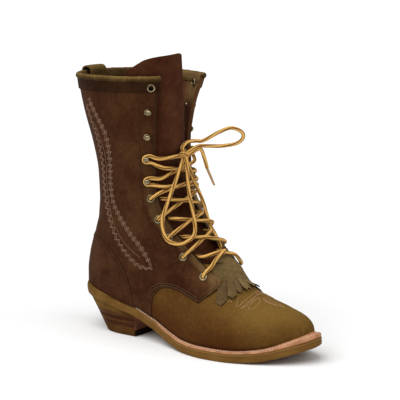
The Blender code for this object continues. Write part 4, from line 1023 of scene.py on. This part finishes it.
def makeFlapEdges():
    rows = np.linspace(0, throatEnd, 240)
    past, out = flapProfile[None, :, :1], flapProfile[None, :, 1:]
    for side in (right, left):
        grid = sideGrid(rows, np.array([0, 0.008, 0.016]), side)
        normal = gridNormals(grid, rows, side)[:, 0]
        beyond = unit(grid[:, 0] - grid[:, 1])
        points, faces = capped(grid[:, None, 0] + past * beyond[:, None] + out * normal[:, None])
        shares = {"raw": rawRows(rows), "brown": softStep(0.26, 0.2, rows)}
        values = {key: np.repeat((side == left) * share, len(flapProfile)) for key, share in shares.items()}
        name = "flapEdgeLeft" if side == left else "flapEdgeRight"
        makePiece(name, points, faces, looks["edge"], "quarter_leather", values=values, flip=side == right)


# Collar band over the top edge: rolled rim, and a lower edge cut in small scallops
collarLook = {
    "scallop": 1.1, "pitch": 4.2, "columns": 300, "lowerRow": 0.025, "rimDown": -1.3, "rimOut": -0.1,
    # profile from the lower outer edge over the rim to the lower inner one: row, lift, way out, inner share
    "profile": [
        (0.031, 0, 0.4, 0), (0.031, 0, 2.3, 0), (0.029, 0, 2.9, 0), (0.02, 0, 2.8, 0), (0.01, 0, 2.5, 0),
        (0.004, 0, 2.4, 0), (0, 0.4, 1.6, 0), (0, 1.2, -0.8, 0.5), (0, 0.4, -3.2, 1), (0.004, 0, -3.7, 1),
        (0.012, 0, -3.6, 1), (0.02, 0, -3.4, 1), (0.021, 0, -2.3, 1),
    ],
}


# Line round one side of the collar at a row, raised and moved out, beside the same line on the last.
def collarLine(row, lift, out, columns, side):
    grid = sideGrid(np.array([row, row + 0.004]), columns, side)
    normal = gridNormals(grid, np.array([0.1, 0.2]), side)[0]
    normal[-1] = unit(normal[-1] * (1, 0, 1))
    return grid[0] + normal * out + np.array((0, 0, lift)), grid[0]


def makeCollar():
    look = collarLook
    columns = np.linspace(0, 1, look["columns"])
    rings = []
    for side in (right, left):
        order = slice(None) if side == right else slice(-2, None, -1)
        lines = []
        for row, lift, out, _ in look["profile"]:
            place, plain = collarLine(row, lift, out, columns, side)
            if row > look["lowerRow"]:
                place[:, 2] -= look["scallop"] * np.abs(np.sin(np.pi * lengths(plain) / look["pitch"]))
            lines.append(place[order])
        rings.append(np.stack(lines, 1))
    rings = np.concatenate(rings)
    points, (faces, caps) = capped(rings)
    onFlap = 0.3 + 0.7 * softStep(0.68, 0.84, np.linspace(0, 1, len(rings)))
    inside = onFlap[:, None] * np.array([share for *_, share in look["profile"]])
    solid = ~inBores(points[faces].mean(1), 2.9)
    makePiece("collarBand", points, [faces[solid], caps], looks["collar"], "collar_leather", ["collar_band"],
              {"inside": inside.ravel()})
    makeRim(columns)


# Rim: the band's rolled top, a soft tube along the collar from one flap to the other.
def makeRim(columns):
    down, out = collarLook["rimDown"], collarLook["rimOut"]
    lines = [collarLine(0, down, out, columns, side)[0] for side in (right, left)]
    path, _ = spaced(np.concatenate([lines[0], lines[1][-2::-1]]), 300)
    along = lengths(path)
    radius = 3.3 + 0.12 * np.sin(along * 0.9) + 0.1 * np.sin(along * 0.37)
    sides = 16
    points, faces, _ = tube(path, radius, sides)
    height = np.append(np.repeat(path[:, 2], sides), path[[0, -1], 2])
    # Painted light: the rim lighter over its top and darker underneath, as light from above falls on it.
    tone = 0.15 + 0.55 * softStep(-1.2, 3.2, points[:, 2] - height)
    makePiece("collarRim", points, faces, looks["rim"], "collar_leather", values={"tone": tone})


# Pull loop: a strap folded over the back of the collar, bowed with the square of the way aside
pullLoopLook = {
    "route": [(2, 262), (-1.7, 276), (-4.4, 286), (-4.2, 290.6), (-1.6, 293.6), (3.4, 294.2), (7, 292.2),
              (8.2, 287), (8.9, 276), (11.6, 262)],
    "rows": 60, "columns": 14, "sides": (-11, 14.5), "bow": 76, "thick": 2.0,
}


def makePullLoop():
    look = pullLoopLook
    path = through(look["route"], look["rows"])
    across = np.linspace(*look["sides"], look["columns"])[None, :]
    bowed = path[:, None, 0] + across ** 2 / look["bow"]
    points = np.stack(np.broadcast_arrays(bowed, across, path[:, None, 1]), -1).reshape(-1, 3)
    tone = np.repeat(0.2 + 0.45 * softStep(286, 294, path[:, 1]), look["columns"])
    faces = gridFaces(look["rows"], look["columns"])
    piece = makePiece("pullLoop", points, faces, looks["rim"], "collar_leather", ["pull_loop"],
                      {"tone": tone})
    thicken(piece, look["thick"], 0)


# Thickness in millimetres laid inward, outward or both ways, with softened edges in a look of their own.
def thicken(piece, thickness, offset, edgeLook=None):
    solidify = piece.modifiers.new("wall", "SOLIDIFY")
    solidify.thickness = thickness * mm
    solidify.offset = offset
    if edgeLook:
        piece.data.materials.append(edgeLook)
        solidify.material_offset_rim = 1
    bevel = piece.modifiers.new("edge", "BEVEL")
    bevel.width = 0.3 * thickness * mm
    bevel.segments = 2
    bevel.limit_method = "ANGLE"


# Lighter and darker places on the tongue: row, reach, their spread, amount
tonguePatches = [
    (0.09, -9, 0.004, 5, 0.5), (0.165, -6, 0.02, 6, 0.45),
    (0.02, -20, 0.05, 14, 0.2), (0.12, -24, 0.05, 6, -0.3),
]
tongueEnd = 0.585


# Tongue: sunk under the laces and standing above the collar, with slow waves across it.
def makeTongue():
    starts = np.linspace(0, tongueEnd, 130)[:, None]
    across = np.linspace(0, 1, 64)[None, :]
    top = (290 - smooth(2 * across - 1, tongueTop["across"], tongueTop["height"])) / shaftPerRow
    rows = starts + top * (1 - starts / tongueEnd) ** 6
    rightReach = smooth(rows, tongueTable["row"], tongueTable["right"])
    leftReach = smooth(rows, tongueTable["row"], tongueTable["left"])
    reaches = -rightReach + (rightReach + leftReach) * across
    here, normal = frontPoints(rows, reaches, False)
    waves = 0.35 * np.sin(rows * 95 + 1.3 * across) * np.exp(-((rows - 0.33) / 0.14) ** 2)
    points = here - normal * (tongueDepth(rows, reaches) + waves)[..., None]
    tone = np.full(rows.shape, 0.42)
    for row, reach, rowReach, sideReach, amount in tonguePatches:
        tone = tone + amount * np.exp(-((rows - row) / rowReach) ** 2 - ((reaches - reach) / sideReach) ** 2)
    piece = makePiece("tongueFlap", points.reshape(-1, 3), gridFaces(*rows.shape), looks["tongue"],
                      "tongue_leather", ["tongue"], {"tone": tone.ravel()}, flip=True)
    thicken(piece, 2.0, -1, looks["tongueEdge"])


makeLining()
makeFlapEdges()
makeCollar()
makePullLoop()
makeTongue()
print("stage: lining, edges, collar, loop, tongue")


# Kiltie: a tab between the flaps that fans out over the vamp in pointed strips, with angles in degrees
kiltieLook = {"back": 185, "half": 22, "centre": 186, "root": 27.5, "lift": 0.9, "share": 0.95, "point": 3.2,
              "rise": (0.5, 2.2, 1.0, 2.7)}
kiltieCuts = np.radians([-68, -52, -38, -26, -15, -4, 7, 18, 29, 40, 51, 62])
kiltieTips = table("angle reach", [
    (-68, 48), (-60, 47), (-44, 44), (-32, 40), (-14, 37.5), (11, 34.5), (40, 38), (62, 43),
])


# The last with its throat closed, which carries the kiltie across it.
def closedTree():
    rows = np.linspace(0.4, 1, 120)
    parts = []
    for side in (right, left):
        grid = sideGrid(rows, np.linspace(0, 1, 60), side, False)
        parts.append((grid.reshape(-1, 3), [gridFaces(*grid.shape[:2])], {}))
    points, faces, _ = joinMeshes(parts)
    return BVHTree.FromPolygons(points.tolist(), np.concatenate(faces).tolist())


vampTree = closedTree()


# Places on the vamp straight below x and y, raised along the surface's own direction.
def onVamp(x, y, rise):
    down = Vector((0, 0, -1))
    starts = np.stack(np.broadcast_arrays(x, y + 0.05, 250.0), -1).reshape(-1, 3)
    hits = [vampTree.ray_cast(Vector(start), down) for start in starts]
    place, way = [np.array([hit[k] for hit in hits]) for k in range(2)]
    way = np.where(way[:, 2:] < 0, -way, way)
    return place + way * np.ravel(rise)[:, None]


# The strips are pointed, and rise to four heights by turns.
def makeKiltie():
    look = kiltieLook
    rows, columns = 14, 49
    angle = np.linspace(kiltieCuts[0], kiltieCuts[-1], columns)[None, :]
    share = np.linspace(0, 1, rows)[:, None]
    backY = look["half"] * angle / kiltieCuts[-1]
    x = look["back"] + (look["centre"] + look["root"] * np.cos(angle) - look["back"]) * share
    y = backY + (look["root"] * np.sin(angle) - backY) * share
    tone = 0.3 + 0.3 * softStep(-20, 15, y)
    tab = onVamp(x, y, np.full(x.shape, look["lift"]))
    parts = [(tab, [gridFaces(rows, columns)], {"tone": tone.ravel()})]
    v = np.linspace(-1, 1, 9)[None, :]
    share = np.linspace(-0.15, 1, 16)[:, None]
    onTop = np.clip(share, 0, 1)
    for strip, (first, last) in enumerate(zip(kiltieCuts[:-1], kiltieCuts[1:])):
        middle = (first + last) / 2
        angle = middle + v * (last - first) / 2 * look["share"]
        tip = smooth(np.degrees(middle), kiltieTips["angle"], kiltieTips["reach"])
        reach = look["root"] + (tip - look["root"]) * share
        reach = reach - look["point"] * softStep(0.4, 1, share) * np.abs(v)
        x = look["centre"] + reach * np.cos(angle)
        y = reach * np.sin(angle)
        rise = look["rise"][strip % 4] * onTop + 0.5 * np.sin(np.pi * onTop) - 0.4 * v ** 2
        tone = np.full(rise.size, 0.62 - 0.45 * softStep(0.2, -0.9, middle) + 0.14 * (strip % 2))
        parts.append((onVamp(x, y, look["lift"] + 0.3 + rise), [gridFaces(*rise.shape)], {"tone": tone}))
    points, faces, values = joinMeshes(parts)
    piece = makePiece("kiltieFringe", points, faces, looks["kiltie"], "kiltie_leather", ["kiltie"], values)
    thicken(piece, 1.4, 1, looks["kiltieEdge"])


makeKiltie()
print("stage: kiltie")


# Hardware: profiles of radius and height above the seat, and the hook's arm in side view
eyeletProfile = [(2.6, -4.4), (2.7, -0.2), (2.85, 0.5), (3.2, 0.9), (3.7, 0.95), (4.25, 0.6), (4.6, -0.1),
                 (4.4, -0.4), (2.95, -0.4), (2.9, -4.4)]
eyeletBack = [(4.2, -4.0), (4.2, -4.7), (3.4, -5.2), (2.5, -5.0), (2.5, -4.0)]
hookDome = [(0, 2.5), (1.05, 2.38), (2.0, 1.95), (2.75, 1.25), (3.15, 0.45), (3.25, 0), (3.0, -0.35),
            (1.8, -0.3), (0, -0.3)]
hookBase = [(0, 0.5), (2.8, 0.5), (3.4, 0.1), (3.4, -0.4), (0, -0.4)]
hookBack = [(0, -3.6), (2.6, -3.6), (2.8, -4.4), (2.0, -5.0), (0, -5.2)]
hookArm = [(3.4, 0), (3.4, .8), (-2.6, .8), (-3.2, 2.6), (-2.6, 4.2), (1.0, 4.4), (1.0, 5.2), (-3.0, 5.2),
           (-4.2, 2.8), (-3.6, 0)]
# Seats: lift off the last, the collar's own lift and depth, and how far two far hooks are drawn aside
seatLook = {"lift": 2.0, "collar": 9, "collarLift": 2.7, "collarDeeper": 1.9, "turned": (7, 8), "aside": 4.3}


# Profile of radius and height spun round the z axis.
def spun(profile, closed=False, segments=24):
    profile = np.array(profile + profile[:1] if closed else profile)
    angle = np.linspace(0, 2 * np.pi, segments, endpoint=False)
    ring = np.stack([np.cos(angle), np.sin(angle)], -1)
    height = np.repeat(profile[:, None, 1:], segments, 1)
    points = np.concatenate([profile[:, None, :1] * ring[None], height], -1)
    return points.reshape(-1, 3), [gridFaces(len(points), segments, True)[:, ::-1]]


# Local shapes set on each seat of a kind: x from the throat, y up, z out.
def onSeats(shape, faces, kind):
    parts = []
    for number, (row, reach, hole) in enumerate(laceHoles):
        inCollar = number == seatLook["collar"]
        lift = seatLook["collarLift" if inCollar else "lift"]
        deeper = shape - (0, 0, seatLook["collarDeeper"] * inCollar) * (shape[:, 2:] < -3)
        for side in (right, left) if hole == kind else ():
            aside = seatLook["aside"] if side == left and number in seatLook["turned"] else 0.0
            here, across, up, out = hookFrame(row, side * (reach + aside), lift)
            basis = np.stack([across, up, out])
            turned = np.linalg.det(basis) < 0
            parts.append((here + deeper @ basis, [face[:, ::-1] if turned else face for face in faces], {}))
    return joinMeshes(parts)[:2]


def makeHardware():
    arm, armFaces = capped(np.stack([np.insert(hookArm, 1, y, axis=1) for y in (-1.7, 1.7)]))
    dome, domeFaces = spun(hookDome)
    hook = [(dome + (-0.8, 0, 5.2), domeFaces), (arm, [block[:, ::-1] for block in armFaces]),
            spun(hookBase), spun(hookBack)]
    eyelet = [spun(eyeletProfile, True), spun(eyeletBack, True)]
    for name, kind, shapes, numbers in (
        ("eyeletRings", "eyelet", eyelet, (1, 2, 3, 4, 5, 10)), ("laceHooks", "hook", hook, (6, 7, 8, 9)),
    ):
        points, faces = onSeats(*joinMeshes(shapes)[:2], kind)
        nodes = [f"{kind}_{hand}_{number}" for hand in ("right", "left") for number in numbers]
        makePiece(name, points, faces, looks["nickel"], "nickel", nodes)


makeHardware()
print("stage: hardware")


# Sole: outlines in plan, from back to toe along the right and back along the left
def soleRing(count):
    x = 150 * (1 - np.cos(np.linspace(0, np.pi, count)))
    low, high = plan(x)
    ring = np.concatenate([np.stack([x, low], -1), np.stack([x, high], -1)[-2:0:-1]])
    tangent = unit(np.roll(ring, -1, 0) - np.roll(ring, 1, 0))
    return ring, np.stack([-tangent[:, 1], tangent[:, 0]], -1)


soleCount = 150
ring, inward = soleRing(soleCount)


# Ring of points at an inset from the outline and a height above the outsole's underside.
def soleLevel(inset, height):
    place = ring + inward * np.broadcast_to(inset, len(ring))[:, None]
    return np.column_stack([place, underside(np.clip(place[:, 0], 0, 300)) + height])


# Closed solid through rings, lowest first, its bottom and top filled across from right to left.
def ringSolid(levels, count):
    size = len(levels[0])
    k = np.arange(count - 1)
    other = (size - k) % size
    nextOther = (size - k - 1) % size
    top = size * (len(levels) - 1)
    low = np.stack([k, other, nextOther, k + 1], -1)
    high = np.stack([k, k + 1, nextOther, other], -1) + top
    return np.concatenate(levels), [gridFaces(len(levels), size, True), low, high]


# Outsole: x where the groove of its edge starts, and the level that stands for a plain edge behind it
forefootFrom = 95
plainLevel = 4.0


# Insets of the outline by the place along it, from the tread up; the groove is in the forefoot alone.
def makeOutsole():
    x = ring[:, 0]
    stations = (0, 30, 84, 270, 300)
    under = np.interp(x, stations, (4.4, 1.6, 1.3, 1.3, 3.6))
    eased = np.interp(x, stations, (3.4, 0.9, 0.5, 0.5, 1.8))
    back = np.interp(x, stations, (1.4, 0.1, 0, 0, 0))
    groove = np.where(x > forefootFrom, 0.35, 0.1)
    levels = [
        (under + 6, 0), (under, 0), (eased, 0.5), (back + 0.1, 1.6), (back * 0.6, 3.6), (back * 0.4, 5.4),
        (back * 0.3 + 0.1, 6.1), (groove, 6.4), (groove, 6.8), (0.15, 7.1), (0.1, 8.2), (0.3, 9.0),
        (0.9, 9.3), (5.0, 9.3),
    ]
    points, faces = ringSolid([soleLevel(*level) for level in levels], soleCount)
    heights = np.array([height for _, height in levels])
    level = np.where(x > forefootFrom, heights[:, None], plainLevel)
    makePiece("outsoleEdge", points, faces, looks["sole"], "sole_leather", ["outsole"],
              {"level": level.ravel()})


# The welt thickens a little round the toe.
def toeRise(x):
    return 2.4 * softStep(258, 298, x)


# Welt and rand: a profile of height and inset, which is deep under the upper at None, along the outline.
def edgeStrip(name, chosen, profile, look, slot, node):
    place, way = ring[chosen], inward[chosen]
    deep = margin(np.clip(place[:, 0], 0, 300)) + 1.6
    rows = []
    for inset, height in profile:
        spot = place + way * (deep if inset is None else np.full(len(place), inset))[:, None]
        rise = toeRise(place[:, 0]) * min((height - stripFoot) / 1.5, 1)
        rows.append(np.column_stack([spot, underside(np.clip(place[:, 0], 0, 300)) + height + rise]))
    makePiece(name, *capped(np.stack(rows, 1)), look, slot, [node], flip=True)


stripFoot = 9.2
weltProfile = [
    (1.2, stripFoot), (0.8, 9.5), (0.6, 9.9), (0.8, 10.4), (1.4, 10.9), (2.3, 11.15), (2.7, 11.0),
    (3.5, 11.1), (3.9, 11.5), (None, 12.5), (None, stripFoot),
]
randProfile = [
    (1.0, stripFoot), (0.5, 9.6), (0.4, 10.2), (0.6, 11.0), (1.0, 11.5), (1.6, 11.7), (None, 12.4),
    (None, stripFoot),
]


# The welt runs round the toe, and the rand round the heel behind it.
def makeWelt():
    front = np.flatnonzero(ring[:, 0] > 66)
    edgeStrip("weltStrip", front, weltProfile, looks["welt"], "welt_leather", "welt")
    order = np.roll(np.arange(len(ring)), len(ring) // 2)
    back = order[ring[order, 0] < 67.5]
    edgeStrip("heelRand", back, randProfile, looks["heel"], "sole_leather", "heel_rand")


# Stacked heel: x of its breast, full height, undershoot, centre and half size for insets, points to a side
heelLook = {"breast": 84, "full": 46.5, "undershot": 31, "middle": 58, "half": 32, "points": 44}
heelLayers = [
    ("heelTopLift", 0.0, 10.1, "rubber", "heel_rubber", "heel_top_lift"),
    ("heelLiftLow", 10.1, 13.9, "heelDark", "heel_dark", "heel_lift_1"),
    ("heelLiftMiddle", 13.9, 16.9, "heelLight", "heel_light", "heel_lift_2"),
    ("heelLiftHigh", 16.9, 20.2, "heelDark", "heel_dark", "heel_lift_3"),
]
wedgeLow = 20.2


# The heel's share of the sole's width, which grows evenly with the height.
def heelWidth(z):
    return 0.88 + 0.12 * z / heelLook["full"]


# Outline of the heel at a height, or at heights by x, drawn in by an inset.
def heelLevel(height, inset=0.0):
    breast, middle = heelLook["breast"], heelLook["middle"]
    x = breast * (1 - np.cos(np.linspace(0, np.pi / 2, heelLook["points"])))
    low, high = plan(x)
    z = height(x) if callable(height) else np.full(len(x), float(height))
    width = heelWidth(z)
    back = heelLook["undershot"] * (1 - z / heelLook["full"])
    x = back + x * (breast - back) / breast
    z = height(x) if callable(height) else z
    shrink = 1 - inset / heelLook["half"]
    x = middle + (x - middle) * shrink
    sides = [np.stack([x, reach * width * shrink, z], -1) for reach in (low, high)]
    return np.concatenate([sides[0], sides[1][:0:-1]])


def makeHeel():
    for name, low, high, look, slot, node in heelLayers:
        levels = [heelLevel(low, 0.5), heelLevel(low + 0.25, 0.1), heelLevel((low + high) / 2),
                  heelLevel(high - 0.25, 0.1), heelLevel(high, 0.5)]
        makePiece(name, *ringSolid(levels, heelLook["points"]), looks[look], slot, [node])
    levels = [heelLevel(wedgeLow, 0.5), heelLevel(wedgeLow + 0.3, 0.1),
              heelLevel(lambda x: underside(x) - 0.3)]
    points, faces = ringSolid(levels, heelLook["points"])
    makePiece("heelWedge", points, faces, looks["heel"], "sole_leather", ["heel_wedge"])
    makeBreast()


# Facing of the heel's breast: a thin panel, hollowed a little, over the ends of the lifts.
def makeBreast():
    up = np.linspace(0.5, 23.4, 24)[:, None]
    v = np.linspace(-1, 1, 33)[None, :]
    low, high = plan(np.array([float(heelLook["breast"])]))
    y = ((low + high) / 2 + (high - low) / 2 * v * 0.985) * heelWidth(up)
    x = heelLook["breast"] + 0.45 - 0.35 * v ** 4
    points = np.stack(np.broadcast_arrays(x, y, up), -1).reshape(-1, 3)
    piece = makePiece("heelBreast", points, gridFaces(24, 33), looks["breast"], "heel_dark", flip=True)
    thicken(piece, 0.6, -1)


def makeInsole():
    x = 148 - 144.5 * np.cos(np.linspace(0, np.pi, 90))
    centre, half = feather(x)
    half = np.maximum(half - np.interp(x, (0, 30, 60), (6.2, 6.2, 4.8)), 0.3)
    x = 148 + (x - 148) * 0.958
    outline = np.concatenate([np.stack([x, centre - half], -1), np.stack([x, centre + half], -1)[-2:0:-1]])
    levels = [np.column_stack([outline, underside(outline[:, 0]) + height]) for height in (7.3, 9.9, 10.3)]
    makePiece("insoleBoard", *ringSolid(levels, 90), looks["insole"], "insole_leather", ["insole"])


makeOutsole()
makeWelt()
makeHeel()
makeInsole()
print("stage: sole")


# Stitching: routes in side view (x and z) laid on both sides, and in plan (x and y) on the vamp
sideRoutes = {
    "eyestay": eyestayLine,
    "vampHigh": [(107.5, 50), (109.5, 56.5), (114.1, 62.4), (122.5, 67.5), (133.7, 69.6), (146, 69),
                 (163, 65.6), (180, 61.4)],
    "vampLow": [(109.5, 50), (111.5, 55), (116, 60.2), (124, 65), (133.7, 67.2), (148, 66.4), (165, 62.6),
                (181.5, 58.6)],
    "counter": [(8, 106.2), (33, 104.4), (48.5, 97.4), (62.8, 85.6), (71.5, 73.6), (78.4, 58.2), (81.8, 43)],
    "tab": [(183.2, 60.4), (192.2, 67.8), (197.2, 73.4), (198.4, 75.8), (197.2, 78.4), (193.6, 82.4)],
    "bar": [(183.7, 61), (192, 70.4), (189.6, 73), (181.4, 64), (183.7, 61)],
    "ornamentFront": [(37.3, 262), (46, 249), (53, 238), (60, 224.8), (61.6, 206), (61.4, 189.3),
                      (59.8, 172.3), (61.4, 152.2), (70.7, 134.2), (85.4, 115.9), (100.2, 101.5),
                      (114.6, 82.8)],
    "ornamentBack": [(34, 258), (40, 240), (46, 226.5), (51, 199.5), (50.4, 171.1), (52.3, 148.7),
                     (56.8, 132.3), (65.5, 113.2), (77, 99.5), (89.5, 88.8), (99, 85), (114.6, 82.8)],
    "ornamentMiddle": [(45, 236), (56, 205), (55, 172), (56.6, 145), (64, 124), (78, 106), (99.6, 92.5)],
}
# Rows on the side routes: pitch, length and radius of a stitch, and its thread
seamRows = {
    "eyestay": (2.6, 1.9, 0.36, "darkThread"), "counter": (2.6, 1.9, 0.36, "darkThread"),
    "vampHigh": (2.5, 1.9, 0.38, "oliveThread"), "vampLow": (2.5, 1.9, 0.38, "oliveThread"),
    "tab": (2.5, 1.9, 0.36, "darkThread"), "bar": (2.3, 1.8, 0.36, "darkThread"),
    "ornamentMiddle": (2.2, 2.0, 0.34, "pinkThread"),
}
# Spiked rows of the ornament: depth of the spikes, their lean, and where the second row lies beside the first
spikedRows = {"ornamentFront": (-5.0, -0.35, -2.2), "ornamentBack": (5.0, 0.8, 2.2)}
stitchPieces = {
    "darkThread": ("darkStitches", "quarter_leather"), "oliveThread": ("seamStitches", "quarter_leather"),
    "pinkThread": ("ornamentStitches", "quarter_leather"), "paleThread": ("toeStitches", "shaft_leather"),
    "whiteThread": ("weltStitches", "welt_leather"),
}
toeRoutes = [
    [(220.5, -25.5), (222, -30), (224, -33), (226, -28.5), (227.5, -16), (225, 5)],
    [(228, -32), (229.5, -27.5), (230.5, -14.5), (228.5, 3.5), (227, 9)],
    [(229, -32), (231.5, -25), (232, -13), (233, -4.5)],
    [(233.5, -5), (233.5, -13.5), (234, -23), (235.5, -28), (238, -24.5), (239, -16.5), (237, -9),
     (233.5, -5)],
    [(235.5, -1.5), (242, -3.5), (248.5, 0), (253.5, 4), (258.5, 7)],
    [(235.5, -1.5), (237, 3), (242.5, 4), (249.5, 6.5), (258.5, 7)],
    [(237, -2.5), (244.5, -1), (251.5, 3)],
    [(213.5, -35.5), (215.5, -33.5), (218.5, -33)],
]
# The far half of the toe's ornament: how many of its routes, and how far their mirror image is moved
mirroredRoutes = 3
toeMirror = 4.4


# Places and outward directions where lines from a side, or from above, first meet the upper.
def meetUpper(starts, way):
    hits = [upperTree.ray_cast(Vector(start), Vector(way)) for start in starts]
    hits = [hit for hit in hits if hit[0] is not None]
    place = np.array([hit[0] for hit in hits])
    normal = np.array([hit[1] for hit in hits])
    return place, np.where((normal @ np.array(way))[:, None] > 0, -normal, normal)


def onSide(route, side):
    route = np.asarray(route)
    starts = np.stack([route[:, 0], np.full(len(route), side * 120.0), route[:, 1]], -1)
    return meetUpper(starts, (0, -side, 0))


def fromAbove(route):
    route = np.asarray(route)
    return meetUpper(np.column_stack([route, np.full(len(route), 200.0)]), (0, 0, -1))


# Line with spikes: out from the base by depth, leaning back along it, then slanting in to the next spike.
def sawtooth(route, pitch, depth, lean):
    base, tangent = spaced(through(route, 400), 400)
    along = lengths(base)
    normal = np.stack([tangent[:, 1], -tangent[:, 0]], -1)
    count = int(along[-1] / pitch)
    inner = np.arange(count) * pitch
    at = np.stack([inner, inner + lean * pitch], 1).ravel()
    out = np.tile([0.0, depth], count) * softStep(along[-1] + 2, along[-1] - 16, at)
    corner = np.stack([np.interp(at, along, base[:, k]) + out * np.interp(at, along, normal[:, k])
                       for k in range(2)], -1)
    corner = np.vstack([corner, base[-1:]])
    return spaced(corner, int(lengths(corner)[-1] / 0.7))[0]


# Stitches along a path on a surface: small grains with rounded ends, laid at an even pitch.
def stitchRow(path, normal, pitch, length, radius, lift=0.1, sides=6):
    along = lengths(path)
    centre = (np.arange(max(int(along[-1] / pitch), 1)) + 0.5) * pitch

    def at(where, data):
        return np.stack([np.interp(where, along, column) for column in data.T], -1)

    way = unit(at(centre + length / 2, path) - at(centre - length / 2, path))
    out = unit(at(centre, normal))
    side = unit(np.cross(out, way))
    angle = np.linspace(0, 2 * np.pi, sides, endpoint=False)
    rings = [(-0.34, 0.8), (0.0, 1.0), (0.34, 0.8)]
    grain = [(x, r * math.cos(a), r * math.sin(a)) for x, r in rings for a in angle]
    grain = np.array(grain + [(-0.5, 0, 0), (0.5, 0, 0)]) * (length, radius, radius)
    basis = np.stack([way, side, out], 1)
    points = (at(centre, path) + out * lift)[:, None] + grain @ basis
    spin = np.arange(sides)
    after = (spin + 1) % sides
    last = 2 * sides
    quads = gridFaces(3, sides, True)
    ends = np.concatenate([np.stack([after, spin, np.full(sides, last + sides)], -1),
                           np.stack([last + spin, last + after, np.full(sides, last + sides + 1)], -1)])
    starts = (np.arange(len(centre)) * len(grain))[:, None, None]
    return points.reshape(-1, 3), [(quads + starts).reshape(-1, 4), (ends + starts).reshape(-1, 3)], {}


# The welt's row, a little above its groove and further in round the forefoot.
def weltRow():
    chosen = np.flatnonzero(ring[:, 0] > 45)
    x = ring[chosen, 0]
    inset = 1.4 + 1.7 * softStep(95, 135, x)
    height = underside(x) + 11.35 + toeRise(x)
    path = through(np.column_stack([ring[chosen] + inward[chosen] * inset[:, None], height]), 1200)
    return stitchRow(path, np.tile((0.0, 0, 1), (len(path), 1)), 3.3, 2.2, 0.52, 0.0)


def makeStitching():
    rows = {thread: [] for thread in stitchPieces}
    for side in (right, left):
        for key, (pitch, length, radius, thread) in seamRows.items():
            place, normal = onSide(through(sideRoutes[key], 300), side)
            rows[thread].append(stitchRow(place, normal, pitch, length, radius))
        for key, (depth, lean, beside) in spikedRows.items():
            for shift in (0.0, beside):
                route = np.array(sideRoutes[key]) + (shift, 0)
                place, normal = onSide(sawtooth(route, 7.0, depth, lean), side)
                rows["pinkThread"].append(stitchRow(place, normal, 1.9, 1.9, 0.46))
        throatRows = np.linspace(0.035, 0.5, 300)
        place, normal = frontPoints(throatRows, side * (throatHalf(throatRows, side) + 2.4))
        rows["darkThread"].append(stitchRow(place + normal * quarterLift, normal, 2.6, 1.9, 0.36))
        for route in toeRoutes if side == right else toeRoutes[:mirroredRoutes]:
            path = through(route, 120)
            place, normal = fromAbove(path if side == right else path * (1, -1) + (0, toeMirror))
            rows["paleThread"].append(stitchRow(place, normal, 1.9, 1.75, 0.36))
    rows["whiteThread"].append(weltRow())
    for thread, (name, slot) in stitchPieces.items():
        points, faces, _ = joinMeshes(rows[thread])
        makePiece(name, points, faces, looks[thread], slot)


makeStitching()
print("stage: stitching")


# Studio: pale floor, broad soft light from above and a weaker one from beyond the toe
floorHalf = 14
# Lamps: way to the light, strength, spread in degrees
lamps = {"keyLight": ((-0.16, -0.42, 0.89), 2.6, 70), "toeLight": ((0.75, 0.10, 0.66), 0.7, 50)}


def makeStudio():
    material, tree, shader = newMaterial("floorPaint", {"Roughness": 0.9})
    mottle = noise(tree, objectPlace(tree), 3.0, 2.0)
    dress(tree, shader, mixColour(tree, mottle, (.92, .92, .92), (.95, .95, .95)))
    mesh = bpy.data.meshes.new("floor")
    corners = [(x * floorHalf, y * floorHalf, 0) for x, y in ((-1, -1), (1, -1), (1, 1), (-1, 1))]
    mesh.from_pydata(corners, [], [(0, 1, 2, 3)])
    mesh.materials.append(material)
    floor = bpy.data.objects.new("floor", mesh)
    scene.collection.objects.link(floor)
    for name, (way, strength, spread) in lamps.items():
        data = bpy.data.lights.new(name, "SUN")
        data.energy = strength
        data.angle = math.radians(spread)
        lamp = bpy.data.objects.new(name, data)
        lamp.location = way
        lamp.rotation_euler = Vector(way).to_track_quat("Z", "Y").to_euler()
        scene.collection.objects.link(lamp)
    world = bpy.data.worlds.new("studio")
    world.use_nodes = True
    background = world.node_tree.nodes["Background"].inputs
    background["Color"].default_value = tint((1, 1, 1))
    background["Strength"].default_value = 0.3
    scene.world = world
    scene.view_settings.view_transform = "Standard"


makeStudio()
bpy.context.view_layer.update()
